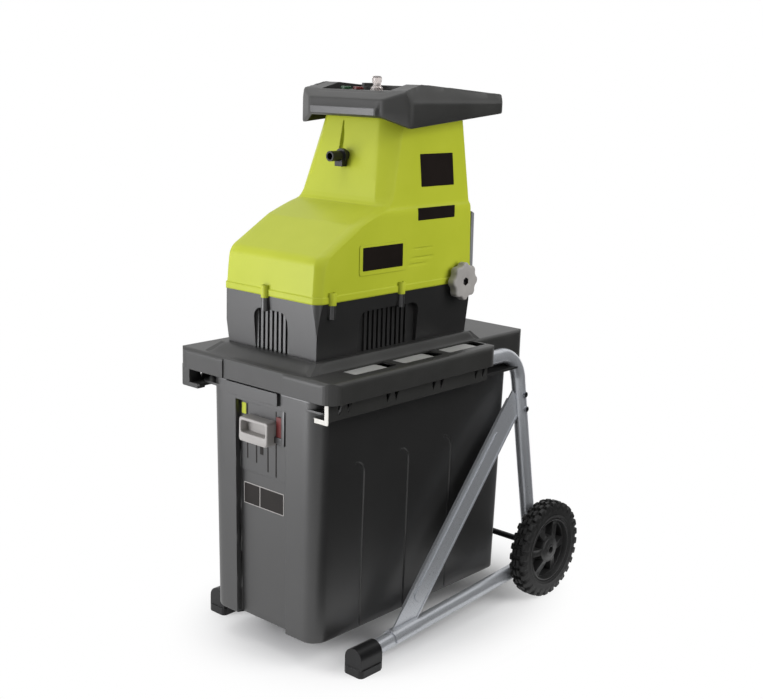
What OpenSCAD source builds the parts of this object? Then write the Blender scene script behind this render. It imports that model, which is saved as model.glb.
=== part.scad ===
// Garden shredder on a wheeled tube frame, with a drum cutter under its hood and a box that slides out below.
// Lengths are in millimetres. X is across, Y runs from the box's front to the wheels, Z is up from the floor.
// Lengths along Y are given from the deck's front edge.

/* [Deck] */
// Width of the deck
deck_w = 385; // [370:1:420]
// Length of the deck from its front edge to its rear edge
deck_len = 607; // [590:1:620]
// Height of the deck's edge above the floor
deck_z = 536; // [525:1:560]
// Wall of the deck
deck_wall = 3.5; // [2.5:0.5:5]
// Height of the skirt round the deck
skirt_h = 37; // [30:1:45]
// Length of the wide part of the deck, up to the step in its sides
deck_step = 446; // [440:1:460]
// Width of the narrow rear part of the deck
deck_rear_w = 276; // [260:1:276]
// Rounding of the deck's corners in plan
deck_corner = 26; // [6:1:28]
// Drop of the apron behind the box, below the skirt
apron_drop = 33; // [20:1:36]
// Radius of the deck's rolled top edges
deck_edge = 9; // [5:0.5:12]
// Depth of the shallow panel in the deck's front
deck_recess = 2.5; // [1:0.5:3]
// Rise of the platform that the hood stands on
platform_rise = 15; // [8:1:20]
// Slope run of the platform's flanks
platform_run = 14; // [8:1:16]
// Run of the platform's front slope
platform_nose = 28; // [12:1:30]
// Width of the windows over the top tubes
window_w = 36; // [24:1:40]
// Length of each window
window_len = 106; // [80:1:112]
// Bridge between two windows
window_gap = 18; // [12:1:30]
// Distance of the first window from the deck's front edge
window_start = 80; // [60:1:90]
// Rounding of the window corners
window_corner = 5; // [2:1:10]

/* [Box rails] */
// Height of the rail that shows under the skirt
rail_drop = 31; // [26:1:40]
// Thickness of the rail's web and ledge
rail_t = 4; // [3:0.5:5]
// Width of the rail's ledge
rail_ledge = 32; // [20:1:34]
// Distance of the rail's web inside the deck's edge
rail_inset = 18.5; // [17:0.5:20]
// Play between pieces that slide or drop into each other
slide_gap = 0.3; // [0.2:0.05:0.5]

/* [Collection box] */
// Width of the box at its top
box_top_w = 272; // [260:1:280]
// Width of the box at its bottom
box_bottom_w = 263; // [250:1:270]
// Distance of the box's front wall from the deck's front edge, at the top
box_front = 27; // [24:1:34]
// Length of the box at its top
box_len = 526; // [500:1:536]
// Draft of the front and rear walls from top to bottom
box_draft = 6; // [0:1:10]
// Height of the box's floor above the ground
box_floor_z = 53; // [45:1:70]
// Height of the box's rim above its flange
box_rim = 14; // [8:1:18]
// Wall of the box
box_wall = 3; // [2:0.5:4]
// Rounding of the box's upright corners
box_corner = 20; // [8:1:30]
// Thickness of the flange that runs on the rails
flange_t = 4; // [3:0.5:6]
// Depth of the sunk panel in the box's front
sunk_depth = 10; // [8:0.5:12]
// Width of the sunk panel
sunk_w = 124; // [116:1:130]
// Width of the grooves on the box's sides
groove_w = 4; // [3:0.5:6]

/* [Latch] */
// Width of the latch handle
latch_w = 72; // [60:1:80]
// Height of the latch handle
latch_h = 42; // [36:1:48]
// Depth of the latch handle
latch_depth = 18; // [14:0.5:20]
// Height of the handle's lower edge in the locked place
latch_z = 392; // [380:1:396]
// Downward travel of the latch
latch_travel = 45; // [30:1:55]
// Width of the slots in the latch guide
slot_w = 4; // [3:0.5:6]
// Width of the lock pin at the handle's side
pin_w = 8; // [5:0.5:9]

/* [Frame] */
// Outer diameter of the frame tubes
tube_d = 28; // [24:1:30]
// Wall of the frame tubes
tube_wall = 1.5; // [1:0.25:2.5]
// Distance of the top tubes from the middle plane
frame_half = 153; // [153:1:155]
// Depth of the top tubes' axes below the deck's top
tube_drop = 36; // [32:1:38]
// Outward splay of the legs in degrees
leg_splay = 3.1; // [0:0.1:3.4]
// Backward rake of the legs in degrees
leg_rake = 7.4; // [2:0.2:9]
// Centreline radius of the upper elbow
elbow_r = 60; // [45:1:64]
// Centreline radius of the lower bend
heel_r = 48; // [46:1:52]
// Length of leg tube from the elbow to the spigot joint
elbow_tail = 48; // [36:1:60]
// Length of the spigot inside the top tube
spigot_len = 30; // [20:1:34]
// Front end of the top tubes
top_tube_start = 40; // [20:1:70]
// Height of the skid tube's centre where it enters the foot
skid_z = 32; // [28:1:40]
// Downward slope of the skid tube in degrees
skid_slope = 3.3; // [1:0.1:5]
// Width of the flat brace
brace_w = 46; // [30:1:50]
// Thickness of the flat brace
brace_t = 3; // [2:0.5:4]
// Height of the brace's upper end above the floor
brace_top_z = 416; // [390:1:420]
// Distance of the brace's lower end from the deck's front edge
brace_foot_y = 202; // [190:1:260]
// Diameter of the frame screws
screw_d = 6; // [4:1:6]

/* [Feet] */
// Width of a foot
foot_w = 39; // [34:1:46]
// Length of a foot
foot_len = 56; // [50:1:70]
// Height of a foot
foot_h = 50; // [49:1:60]
// Distance of the foot's front from the deck's front edge
foot_front = 80; // [70:1:100]
// Depth of the tube socket in a foot
foot_socket = 40; // [30:1:44]

/* [Wheels] */
// Outer radius of a tyre
wheel_r = 98; // [90:1:110]
// Width of a wheel
wheel_w = 36; // [30:1:40]
// Outer face of a wheel from the middle plane
wheel_out = 228; // [226:1:240]
// Radius of the rim under the tyre
rim_r = 64; // [58:1:74]
// Width of the rim's ring
rim_ring = 5; // [4:0.5:8]
// Radius of the wheel's hub
hub_r = 23; // [16:1:28]
// Number of spokes
spokes = 6; // [4:1:8]
// Width of a spoke
spoke_w = 17; // [10:1:20]
// Diameter of the axle
axle_d = 12; // [10:1:14]
// Distance of the axle from the deck's front edge
axle_y = 608; // [600:1:620]
// Radial running play of turning fits
run_play = 0.05; // [0.03:0.01:0.09]

/* [Lower housing] */
// Width of the housing at the joint with the hood
hood_w = 232; // [226:1:240]
// Distance of the hood's front from the deck's front edge
hood_front = 42; // [38:1:50]
// Length of the hood at the joint line
hood_len = 408; // [400:1:416]
// Height of the lower housing
housing_h = 97; // [90:1:104]
// Inward draft of the housing towards its foot
housing_draft = 8; // [0:1:12]
// Wall of the housing and the hood
shell_wall = 3.5; // [2.5:0.5:4]
// Rounding of the upright corners
hood_corner = 16; // [10:1:24]
// Width of a vent slot
vent_w = 5; // [3:0.5:7]
// Depth of the vents' sunk arches
vent_depth = 7; // [4:0.5:9]
// Slots in the front vent
front_vents = 7; // [5:1:8]
// Slots in each side vent
side_vents = 9; // [6:1:10]
// Radius of the screw bosses on the joint line
boss_r = 6; // [5:0.5:8]

/* [Hood] */
// Height of the shoulder above the joint line
shoulder_h = 150; // [144:1:156]
// Height of the nose's front above the joint line
nose_h = 82; // [70:1:90]
// Rounding of the nose's front edge
nose_r = 26; // [15:1:34]
// Rounding of the hood's upper side edges
shoulder_r = 16; // [8:1:24]
// Start of the tower's front, from the deck's front edge
tower_front = 203; // [196:1:210]
// Backward lean of the tower's front over its height
tower_lean = 40; // [30:1:44]
// Width of the tower at the shoulder
tower_w = 216; // [210:1:220]
// Width of the tower at its top
tower_top_w = 184; // [182:1:200]
// Height of the tower above the shoulder
tower_h = 150; // [140:1:156]
// Outer diameter of the cable inlet
inlet_d = 18; // [14:1:22]
// Height of the cable inlet above the shoulder
inlet_h = 79; // [70:1:90]
// Length of the rear cover plate
rear_cover_h = 110; // [80:1:120]

/* [Hopper tray] */
// Width of the tray
tray_w = 260; // [250:1:280]
// Width of the tray's front panel
tray_panel_w = 170; // [160:1:190]
// Front of the tray from the deck's front edge
tray_front = 218; // [212:1:226]
// Run of the tray's front corners
tray_corner = 29; // [20:1:36]
// Length of the tray
tray_len = 290; // [280:1:300]
// Rise of the tray's rim above the tower's top
tray_rise = 54; // [50:1:60]
// Depth of the tray's skirt below the tower's top
tray_skirt = 18; // [12:1:24]
// Wall of the tray
tray_wall = 4; // [3:0.5:5]
// Width of the feed opening at the top
mouth_w = 200; // [180:1:206]
// Length of the feed opening at the top
mouth_len = 136; // [120:1:140]
// Width of the feed opening at the tray's floor
throat_w = 156; // [140:1:160]
// Length of the feed opening at the tray's floor
throat_len = 82; // [76:1:84]
// Width of the control panel
panel_w = 160; // [150:1:170]
// Length of the control panel
panel_len = 98; // [92:1:100]
// Thickness of the control panel
panel_t = 3; // [2:0.5:4]
// Height of the control panel above the tower's top
panel_rise = 42; // [38:1:46]
// Diameter of the push buttons
button_d = 18; // [14:1:22]
// Travel of the push buttons
button_travel = 3; // [2:0.5:4]
// Height of the clear boot over the reset button
boot_h = 25; // [18:1:28]

/* [Cutter] */
// Distance of the drum's axis to the left of the middle plane
drum_left = 14; // [10:1:18]
// Height of the drum's axis above the joint line
drum_rise = 4; // [2:1:6]
// Radius of the cutting drum
drum_r = 46; // [40:1:48]
// Length of the cutting drum
drum_len = 104; // [90:1:106]
// Teeth of the cutting drum
drum_teeth = 8; // [6:1:10]
// Depth of the drum's tooth slots
drum_slot = 12; // [8:1:14]
// Radius of the drum's shaft
drum_shaft_r = 12; // [10:0.5:13]
// Gap between the drum and the pressure plate
plate_gap = 1.4; // [1:0.1:3]
// Thickness of the pressure plate
plate_t = 16; // [12:1:18]
// Travel of the pressure plate
plate_travel = 12; // [8:1:12]
// Radius of the adjuster screw
adjuster_r = 8; // [6:0.5:9]
// Diameter of the star knob
knob_d = 70; // [60:1:76]
// Thickness of the star knob
knob_t = 16; // [14:1:30]
// Distance of the adjuster's axis behind the drum's middle
adjuster_back = 29; // [0:1:29]
// Lobes of the star knob
knob_lobes = 8; // [6:1:10]
// Height of the cutter housing above the platform
cutter_h = 179; // [170:1:185]
// Wall of the cutter housing
cutter_wall = 6; // [5:0.5:8]

/* [Gears] */
// Teeth of the drum gear
drum_gear_n = 54; // [50:1:56]
// Teeth of the layshaft pinion
lay_pinion_n = 12; // [11:1:14]
// Module of the drum gear
drum_gear_m = 2; // [1.9:0.05:2.05]
// Teeth of the layshaft gear
lay_gear_n = 52; // [48:1:54]
// Teeth of the motor pinion
motor_pinion_n = 13; // [13:1:15]
// Module of the motor pinion
motor_gear_m = 1.25; // [1.2:0.05:1.3]
// Pressure angle of the gears in degrees
pressure_angle = 25; // [22:1:26]
// Backlash of the gears
backlash = 0.16; // [0.12:0.01:0.25]
// Face width of the drum gear
drum_gear_w = 18; // [14:1:20]
// Face width of the layshaft gear
lay_gear_w = 14; // [10:1:15]
// Angle of the layshaft above the drum's axis in degrees
lay_angle = 40; // [36:1:44]
// Angle from the layshaft to the motor in degrees
motor_angle = -114; // [-116:1:-110]

/* [Motor] */
// Outer radius of the motor case
motor_r = 66; // [60:1:68]
// Length of the motor case
motor_len = 154; // [140:1:156]
// Wall of the motor case
motor_wall = 4; // [3:0.5:5]
// Radius of the rotor core
rotor_r = 33; // [28:1:36]
// Air gap between rotor and stator
air_gap = 0.6; // [0.4:0.1:1]
// Radius of the motor and layshaft shafts
shaft_r = 8; // [7:0.5:8]
// Radius of the fan
fan_r = 48; // [40:1:52]
// Blades of the fan
fan_blades = 9; // [7:1:11]
// Wall of the gearbox
gearbox_wall = 10; // [10:1:12]
// Length of the space inside the gearbox
gearbox_room = 48; // [46:1:50]
// Distance of the motor case behind the hood's front
motor_setback = 56; // [52:1:58]

/* [Hidden] */
$fn = 96;
// Overlap that lets a cut run clear through a face
cut = 1;

// The origin is on the floor, midway along the whole length
front_y = -(axle_y + wheel_r) / 2;

// Deck and platform levels
deck_half = deck_w / 2;
deck_under = deck_z - deck_wall;
platform_z = deck_z + platform_rise;
platform_margin = 2;
platform_half = hood_w / 2 + platform_margin;
platform_front = hood_front - platform_margin;
platform_rear = hood_front + hood_len + platform_margin;
window_mid = frame_half - 2;
recess_left = -70;
recess_right = 79;

// Rail and box levels
web_out = deck_half - rail_inset;
lip_out = deck_half - deck_wall - slide_gap;
web_in = web_out - rail_t;
rail_z = deck_z - skirt_h - rail_drop;
rail_end_gap = 10;
lip_z = deck_z - skirt_h + 0.5;
lip_end = deck_corner + slide_gap;
flange_z = rail_z + rail_t;
flange_half = web_in - 2;
box_top_z = flange_z + flange_t + box_rim;
box_rear = box_front + box_len;

// Sunk panel and latch levels
sunk_left = -65;
sunk_right = sunk_left + sunk_w;
sunk_top = rail_z - 9;
latch_left = -44;
latch_right = latch_left + latch_w;
guide_front = box_front + 6;
guide_low = latch_z - latch_travel - 19;
guide_high = sunk_top - 6;
pin_mid = latch_right + 21;
pin_front = guide_front - 1.5;
pin_back = pin_front + 5.5;
pin_top = deck_z - skirt_h - 1.5;

// Frame geometry in the plane of one side's tubes
tube_r = tube_d / 2;
tube_z = deck_z - tube_drop;
axle_r = axle_d / 2;
axle_depth = (tube_z - wheel_r) / cos(leg_splay);
elbow_y = axle_y - axle_depth * tan(leg_rake);
elbow_turn = 90 - leg_rake;
elbow_tan = elbow_r * tan(elbow_turn / 2);
joint_t = elbow_tan + elbow_tail;
skid_y = foot_front + foot_len;
skid_depth = (tube_z - skid_z) / cos(leg_splay);
skid_fall = tan(skid_slope);
heel_t = (skid_depth - (elbow_y - skid_y) * skid_fall) / (cos(leg_rake) + sin(leg_rake) * skid_fall);
heel_turn = 90 + leg_rake - skid_slope;
heel_tan = heel_r * tan(heel_turn / 2);
heel_tail = 14;
brace_t1 = (tube_z - brace_top_z) / cos(leg_splay) / cos(leg_rake);
foot_x = frame_half + skid_depth * sin(leg_splay);

// Hood levels
joint_z = platform_z + housing_h;
shoulder_z = joint_z + shoulder_h;
tower_z = shoulder_z + tower_h;
hood_half = hood_w / 2;
hood_rear = hood_front + hood_len;
hood_rear_corner = 8;
rim_h = 11;
rim_out = 1.5;
body_lean = 3;
nose_lean = 4;
tower_rear_gap = 4;
tower_rear_lean = 7;
boss_h = 20;
boss_sides = [75, 248];
boss_front_x = -6;
screw_shank_r = 2.2;
screw_head_r = 4;

// Tray levels
tray_rear = tray_front + tray_len;
tray_half = tray_w / 2;
panel_y = tray_front + 25;
panel_z = tower_z + panel_rise;
mouth_rear = tray_rear - 16;
throat_rear = mouth_rear - 60;
button_r = button_d / 2;
stem_r = 4;
button_gap = 0.5;
start_at = [-48, panel_y + 29];
stop_at = [-18, panel_y + 29];
reset_at = [28, panel_y + 27];
selector_at = [-33, panel_y + 70];
boot_r = 11;

// Cutter, gearbox and motor places
gearbox_y = hood_front + motor_setback + motor_len;
room_y = gearbox_y + gearbox_wall;
cover_y = room_y + gearbox_room;
cutter_y = cover_y + gearbox_wall;
drum_side_gap = 6;
drum_y = cutter_y + drum_side_gap;
cutter_rear = drum_y + drum_len + drum_side_gap;
drum_x = -drum_left;
drum_z = joint_z + drum_rise;
plate_x = drum_x + drum_r + plate_gap;
plate_boss = 22;
plate_half_h = 40;
cutter_left = drum_x - drum_r - 4;
cutter_right = plate_x + plate_t + plate_boss + plate_travel + 2;
cutter_top = platform_z + cutter_h;
knob_y = drum_y + drum_len / 2 + adjuster_back;
knob_x = hood_half + 6;
lay_c = drum_gear_m * (drum_gear_n + lay_pinion_n) / 2;
lay_x = drum_x + lay_c * cos(lay_angle);
lay_z = drum_z + lay_c * sin(lay_angle);
motor_c = motor_gear_m * (lay_gear_n + motor_pinion_n) / 2;
motor_x = lay_x + motor_c * cos(motor_angle);
motor_z = lay_z + motor_c * sin(motor_angle);
motor_y = hood_front + motor_setback;
addendum = 0.8;
dedendum = 1;
lay_bearing_r = 13;
motor_bearing_r = 14;
drum_bearing_r = 20;
shield_t = 10;
fan_t = 12;
gear_margin = 8;
gear_room_gap = 2;
drum_tip = drum_gear_m * (drum_gear_n / 2 + addendum);
lay_tip = motor_gear_m * (lay_gear_n / 2 + addendum);
gearbox_left = drum_x - drum_tip - gear_margin;
gearbox_right = lay_x + lay_tip + gear_margin;
gearbox_low = drum_z - drum_tip - gear_margin;
gearbox_top = lay_z + lay_tip + gear_margin;
lay_gear_y = room_y + 3;
drum_gear_y = lay_gear_y + lay_gear_w + 6;

// Points of an arc
function arc(c, r, a0, a1, n = 8) =
    [for (i = [0:n]) let (a = a0 + (a1 - a0) * i / n) c + r * [cos(a), sin(a)]];

// Points of a rectangle with its own rounding at the front and at the rear
function soft_rect(x0, x1, y0, y1, rf, rr) = concat(
    arc([x1 - rf, y0 + rf], rf, -90, 0), arc([x1 - rr, y1 - rr], rr, 0, 90),
    arc([x0 + rr, y1 - rr], rr, 90, 180), arc([x0 + rf, y0 + rf], rf, 180, 270));

// Four corners of a band between two heights, each with its own half width or span
function band(a0, a1, z0, b0, b1, z1) = [[a0, z0], [a1, z0], [b1, z1], [b0, z1]];

// Involute of an angle, in degrees
function involute(a) = tan(a) * 180 / PI - a;

// Half the angle that a tooth covers at a radius
function tooth_half(n, m, r) = let (rp = m * n / 2, rb = rp * cos(pressure_angle))
    90 / n - backlash / 4 / rp * 180 / PI + involute(pressure_angle) - (r > rb ? involute(acos(rb / r))
        : 0);

// Outline of a gear with one tooth centred on the first axis
function gear_points(n, m, steps = 4) =
    let (rp = m * n / 2, rf = rp - dedendum * m, ra = rp + addendum * m,
         radii = concat([rf], [for (i = [0:steps]) let (r0 = max(rf + 0.05, rp * cos(pressure_angle)))
             r0 + (ra - r0) * i / steps]))
    [for (k = [0:n - 1], side = [-1, 1], i = [0:len(radii) - 1])
        let (r = radii[side < 0 ? i : len(radii) - 1 - i], a = 360 * k / n + side * tooth_half(n, m, r))
        r * [cos(a), sin(a)]];

// Shape drawn in Y and Z, run along X
module along_x(x0, x1) translate([x0, 0, 0]) rotate([90, 0, 90]) linear_extrude(x1 - x0) children();

// Shape drawn in X and Z, run along Y
module along_y(y0, y1) translate([0, y1, 0]) rotate([90, 0, 0]) linear_extrude(y1 - y0) children();

// Shape drawn in X and Y, run up
module along_z(z0, z1) translate([0, 0, z0]) linear_extrude(z1 - z0) children();

// Round bars along the three axes
module rod_x(x0, x1, r) translate([x0, 0, 0]) rotate([0, 90, 0]) cylinder(h = x1 - x0, r = r);
module rod_y(y0, y1, r) translate([0, y0, 0]) rotate([-90, 0, 0]) cylinder(h = y1 - y0, r = r);
module rod_z(z0, z1, r) translate([0, 0, z0]) cylinder(h = z1 - z0, r = r);

// Box between two corners
module block(a, b) translate(a) cube(b - a);

// Moves lengths given from the deck's front edge into the part's own frame
module place() translate([0, front_y, 0]) children();

// The same piece on the left side
module left() mirror([1, 0, 0]) children();

// Section with two rounded top corners
function top_round(a0, a1, low, top, r) = concat([[a0, low], [a1, low]],
    arc([a1 - r, top - r], r, 0, 90), arc([a0 + r, top - r], r, 90, 180));

// One rectangle of the deck with rolled top edges, drawn in by d
module deck_block(half, y0, y1, d) {
    low = deck_z - skirt_h - (d > 0 ? cut : 0);
    x = half - d;
    intersection() {
        along_z(low, deck_z) polygon(soft_rect(-x, x, y0 + d, y1 - d, deck_corner - d, deck_corner - d));
        along_y(y0, y1) polygon(top_round(-x, x, low, deck_z - d, deck_edge - d));
        along_x(-half, half) polygon(top_round(y0 + d, y1 - d, low, deck_z - d, deck_edge - d));
    }
}
// Apron behind the box, in the rear part's outline and drawn in by d
apron_gap = 4;
apron_corner = 6;
module deck_apron(d) along_z(deck_z - skirt_h - apron_drop - (d > 0 ? cut : 0), deck_z - skirt_h + cut)
    polygon(soft_rect(-deck_rear_w / 2 + d, deck_rear_w / 2 - d, box_rear + apron_gap + d, deck_len - d,
        apron_corner - d, deck_corner - d));
deck_lap = 60;
module deck_form(d) {
    deck_apron(d);
    deck_block(deck_half, 0, deck_step, d);
    deck_block(deck_rear_w / 2, deck_step - deck_lap, deck_len, d);
}

// Raised platform with sloping flanks
module platform_form(drop) translate([0, 0, -drop]) intersection() {
    along_y(0, deck_len)
        polygon(band(-platform_half - platform_run, platform_half + platform_run, deck_z - cut,
            -platform_half, platform_half, platform_z));
    along_x(-deck_half, deck_half)
        polygon(band(platform_front - platform_nose, platform_rear + platform_run, deck_z - cut,
            platform_front, platform_rear, platform_z));
}

// Footprint of the discharge opening
module chute_plan(d) polygon(soft_rect(cutter_left + 4 + d, cutter_right - 4 - d,
    cutter_y + 4 + d, cutter_rear - 4 - d, 3, 3));

module deck() color("#26262a") place() difference() {
    union() {
        difference() {
            deck_form(0);
            deck_form(deck_wall);
        }
        block([recess_left - deck_wall, deck_wall / 2, deck_z - skirt_h],
            [recess_right + deck_wall, deck_wall + deck_recess, deck_under]);
        platform_form(0);
    }
    platform_form(deck_wall);
    along_z(deck_under - cut, platform_z + cut) chute_plan(-slide_gap);
    for (s = [-1, 1], i = [0:2]) {
        y0 = window_start + i * (window_len + window_gap);
        along_z(deck_under - cut, deck_z + cut)
            polygon(soft_rect(s * window_mid - window_w / 2, s * window_mid + window_w / 2, y0,
                y0 + window_len,
                window_corner, window_corner));
    }
    block([recess_left, -cut, deck_z - skirt_h - cut], [recess_right, deck_recess, deck_z + cut]);
    for (s = [-1, 1]) translate([s * frame_half, 0, 0]) {
        translate([0, 0, tube_z]) rod_y(deck_step - 2 * deck_wall, deck_step + cut, tube_r + slide_gap);
        block([-tube_r - slide_gap, deck_step - 2 * deck_wall, deck_z - skirt_h - cut],
            [tube_r + slide_gap, deck_step + cut, tube_z]);
    }
}

// Runner for the box's flange: a ledge, an upright web with paired notches, and a lip to the deck's skirt
notch_pairs = [34, 152, 274, 396];
notch_gap = 22;
notch_w = 15;
module rail() color("#1f1f22") place() difference() {
    union() {
        block([web_in, rail_end_gap, rail_z], [web_out, deck_step - rail_end_gap, lip_z + rail_t]);
        block([web_out - rail_ledge, rail_end_gap, rail_z], [web_out, deck_step - rail_end_gap, flange_z]);
        block([web_in, lip_end, lip_z], [lip_out, deck_step - lip_end, lip_z + rail_t]);
    }
    for (y = notch_pairs, k = [0, notch_gap]) along_x(web_in - cut, web_out + cut)
        polygon([[y + k, lip_z - 2], [y + k + notch_w, lip_z - 2], [y + k + 4, flange_z + 3]]);
}
module rail_right() rail();
module rail_left() left() rail();

// Plane of the right side's tubes, hinged outwards along the top tube's axis
module frame_plane() translate([frame_half, 0, tube_z]) rotate([0, -leg_splay, 0]) children();

// Straight bar from a distance to another along the leg or along the skid
module leg_bar(t0, t1, r) translate([0, elbow_y, 0]) rotate([leg_rake, 0, 0]) rod_z(-t1, -t0, r);
module heel_corner() translate([0, elbow_y + heel_t * sin(leg_rake), -heel_t * cos(leg_rake)]) children();
module skid_bar(t0, t1, r) heel_corner() rotate([skid_slope, 0, 0]) rod_y(-t1, -t0, r);
module leg_point(t) translate([0, elbow_y + t * sin(leg_rake), -t * cos(leg_rake)]) children();

// Hollow lengths of tube along the leg and along the skid
module leg_tube(t0, t1, r) difference() {
    leg_bar(t0, t1, r);
    leg_bar(t0 - cut, t1 + cut, r - tube_wall);
}
module skid_tube(t0, t1) difference() {
    skid_bar(t0, t1, tube_r);
    skid_bar(t0 - cut, t1 + cut, tube_r - tube_wall);
}

// Hollow bend in the plane of the tubes, from an angle through a turn, lapped a little into both straights
bend_lap = 2;
bend_swell = 0.3;
module bend(y, z, big_r, a0, turn) {
    lap = bend_lap / big_r * 180 / PI;
    translate([0, y, z]) rotate([90, 0, 90]) rotate([0, 0, a0 - lap])
        rotate_extrude(angle = turn + 2 * lap) translate([big_r, 0]) difference() {
            circle(tube_r + bend_swell);
            circle(tube_r - tube_wall - bend_swell);
        }
}
skid_end_t = (elbow_y + heel_t * sin(leg_rake) - (skid_y - foot_socket)) / cos(skid_slope);

// Screws that hold the spigot joint, as distances along the leg
screw_t = [joint_t - spigot_len / 2, joint_t + spigot_len / 2];
module screw_holes() for (t = screw_t) leg_point(t) rod_x(0, tube_r + cut, screw_d / 2 + slide_gap / 3);

module top_tube() color("#9aa0a8") place() frame_plane() difference() {
    union() {
        difference() {
            rod_y(top_tube_start, elbow_y - elbow_tan, tube_r);
            rod_y(top_tube_start - cut, elbow_y - elbow_tan + cut, tube_r - tube_wall);
        }
        bend(elbow_y - elbow_tan, -elbow_r, elbow_r, leg_rake, elbow_turn);
        leg_tube(elbow_tan, joint_t, tube_r);
    }
    screw_holes();
}
module top_tube_right() top_tube();
module top_tube_left() left() top_tube();

module leg() color("#9aa0a8") place() difference() {
    frame_plane() difference() {
        union() {
            leg_tube(joint_t, heel_t - heel_tan, tube_r);
            bend(elbow_y + (heel_t - heel_tan) * sin(leg_rake) - heel_r * cos(leg_rake),
                -(heel_t - heel_tan) * cos(leg_rake) - heel_r * sin(leg_rake),
                heel_r, leg_rake - heel_turn, heel_turn);
            skid_tube(heel_tan, heel_tan + heel_tail);
            difference() {
                union() {
                    leg_bar(joint_t + cut / 2, joint_t + 2 * tube_wall, tube_r - tube_wall / 2);
                    leg_bar(joint_t - spigot_len, joint_t + cut, tube_r - tube_wall - slide_gap / 3);
                }
                leg_bar(joint_t - spigot_len - cut, joint_t + 3 * tube_wall,
                    tube_r - 2 * tube_wall - slide_gap / 3);
            }
        }
        screw_holes();
    }
    translate([0, axle_y, wheel_r]) rod_x(frame_half - tube_r, wheel_out, axle_r + slide_gap / 3);
}
module leg_right() leg();
module leg_left() left() leg();

module skid() color("#9aa0a8") place() frame_plane() skid_tube(heel_tan + heel_tail, skid_end_t - cut);
module skid_right() skid();
module skid_left() left() skid();

// Flat brace with raised borders, welded to the leg and saddled on the skid tube
module brace() color("#8f959d") place() frame_plane() {
    p = [elbow_y + brace_t1 * sin(leg_rake), -brace_t1 * cos(leg_rake)];
    q = [brace_foot_y, -skid_depth + (brace_foot_y - skid_y) * skid_fall];
    run = norm(p - q);
    tilt = atan2(p[1] - q[1], p[0] - q[0]);
    saddle_t = (elbow_y + heel_t * sin(leg_rake) - brace_foot_y) / cos(skid_slope);
    difference() {
        union() {
            translate([0, q[0], q[1]]) rotate([tilt, 0, 0]) {
                block([-brace_t / 2, 0, -brace_w / 2], [brace_t / 2, run - brace_w / 5, brace_w / 2]);
                for (s = [-1, 1]) block([-brace_t, 3 * tube_r, s * brace_w / 2 - brace_t / 2],
                    [brace_t, run - 2 * tube_r, s * brace_w / 2 + brace_t / 2]);
            }
            intersection() {
                skid_bar(saddle_t - brace_w, saddle_t + brace_w / 2, tube_r + brace_t);
                heel_corner() rotate([skid_slope, 0, 0])
                    block([-tube_d, -saddle_t - brace_w, -brace_t], [tube_d, -saddle_t + 2 * brace_w,
                        tube_d]);
            }
        }
        skid_bar(0, skid_end_t, tube_r + slide_gap / 3);
        leg_bar(0, heel_t, tube_r + slide_gap / 3);
    }
}
module brace_right() brace();
module brace_left() left() brace();

// Cap on the skid tube's end: an arched body on a wider sole
sole_h = 14;
sole_out = 2;
module foot() color("#1c1c1e") place() difference() {
    translate([foot_x, 0, 0]) {
        along_y(foot_front + sole_out, foot_front + foot_len) polygon(concat([[-foot_w / 2, cut],
            [foot_w / 2, cut]],
            arc([0, foot_h - foot_w / 2], foot_w / 2, 0, 180, 24)));
        along_z(0, sole_h) polygon(soft_rect(-foot_w / 2 - sole_out, foot_w / 2 + sole_out,
            foot_front, foot_front + foot_len - sole_out, 8, 4));
    }
    frame_plane() skid_bar(0, skid_end_t, tube_r + slide_gap / 3);
}
module foot_right() foot();
module foot_left() left() foot();

module axle() color("#202022") place()
    translate([0, axle_y, wheel_r]) rod_x(-wheel_out + 6, wheel_out - 6, axle_r);

module frame_screws() color("#c0c4c8") place() for (s = [0, 1]) mirror([s, 0, 0]) frame_plane()
    for (t = screw_t) leg_point(t) {
        rod_x(tube_r / 2, tube_r + 0.5, screw_d / 2);
        rod_x(tube_r, tube_r + screw_d / 2, screw_d * 0.9);
    }

// Plan of the housing and the hood, drawn in by d
module hood_plan(d) polygon(soft_rect(-hood_half + d, hood_half - d, hood_front + d, hood_rear - d,
    hood_corner - d, hood_rear_corner - d));

module housing_form(d, over) intersection() {
    along_y(hood_front - cut, hood_rear + cut)
        polygon(band(-hood_half + housing_draft + d, hood_half - housing_draft - d, platform_z - over,
            -hood_half + d, hood_half - d, joint_z + over));
    along_x(-hood_w, hood_w)
        polygon(band(hood_front + housing_draft + d, hood_rear - housing_draft / 2 - d, platform_z - over,
            hood_front + d, hood_rear - d, joint_z + over));
    along_z(platform_z - over, joint_z + over) hood_plan(d);
}

// Screw places on the joint line
module at_bosses() {
    translate([boss_front_x, hood_front, 0]) children();
    for (s = [-1, 1], y = boss_sides) translate([s * hood_half, y, 0]) children();
}
front_vent_pitch = 11;
front_vent_x = 2;
front_arch = 41;
side_vent_pitch = 12;
side_vent_y = 225;
side_arch = 78;
arch_r = 18;
vent_low = platform_z + 7;
vent_high = joint_z - boss_h - 4;
vent_back = housing_draft + vent_depth;
fin_w = front_vent_pitch - vent_w;

// Outline of a vent's arch around a middle, drawn out by d
module arch_outline(mid, half, d) polygon(top_round(mid - half - d, mid + half + d, platform_z - cut,
    vent_high + d, arch_r + d));

module knob_hole() translate([0, knob_y, drum_z]) rod_x(hood_half - 20, hood_half + 20, adjuster_r + 5);

// Blind arch in the front, with upright fins; d gives the shell around it
module front_arch_form(d) along_y(hood_front - cut,
    hood_front + vent_back + d) arch_outline(front_vent_x, front_arch, d);
module side_arch_form(d) along_x(hood_half - vent_back - d, hood_half + cut) arch_outline(side_vent_y,
    side_arch, d);
module both_sides() {
    children();
    left() children();
}
fin_front = vent_back - vent_depth + 2;

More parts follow.
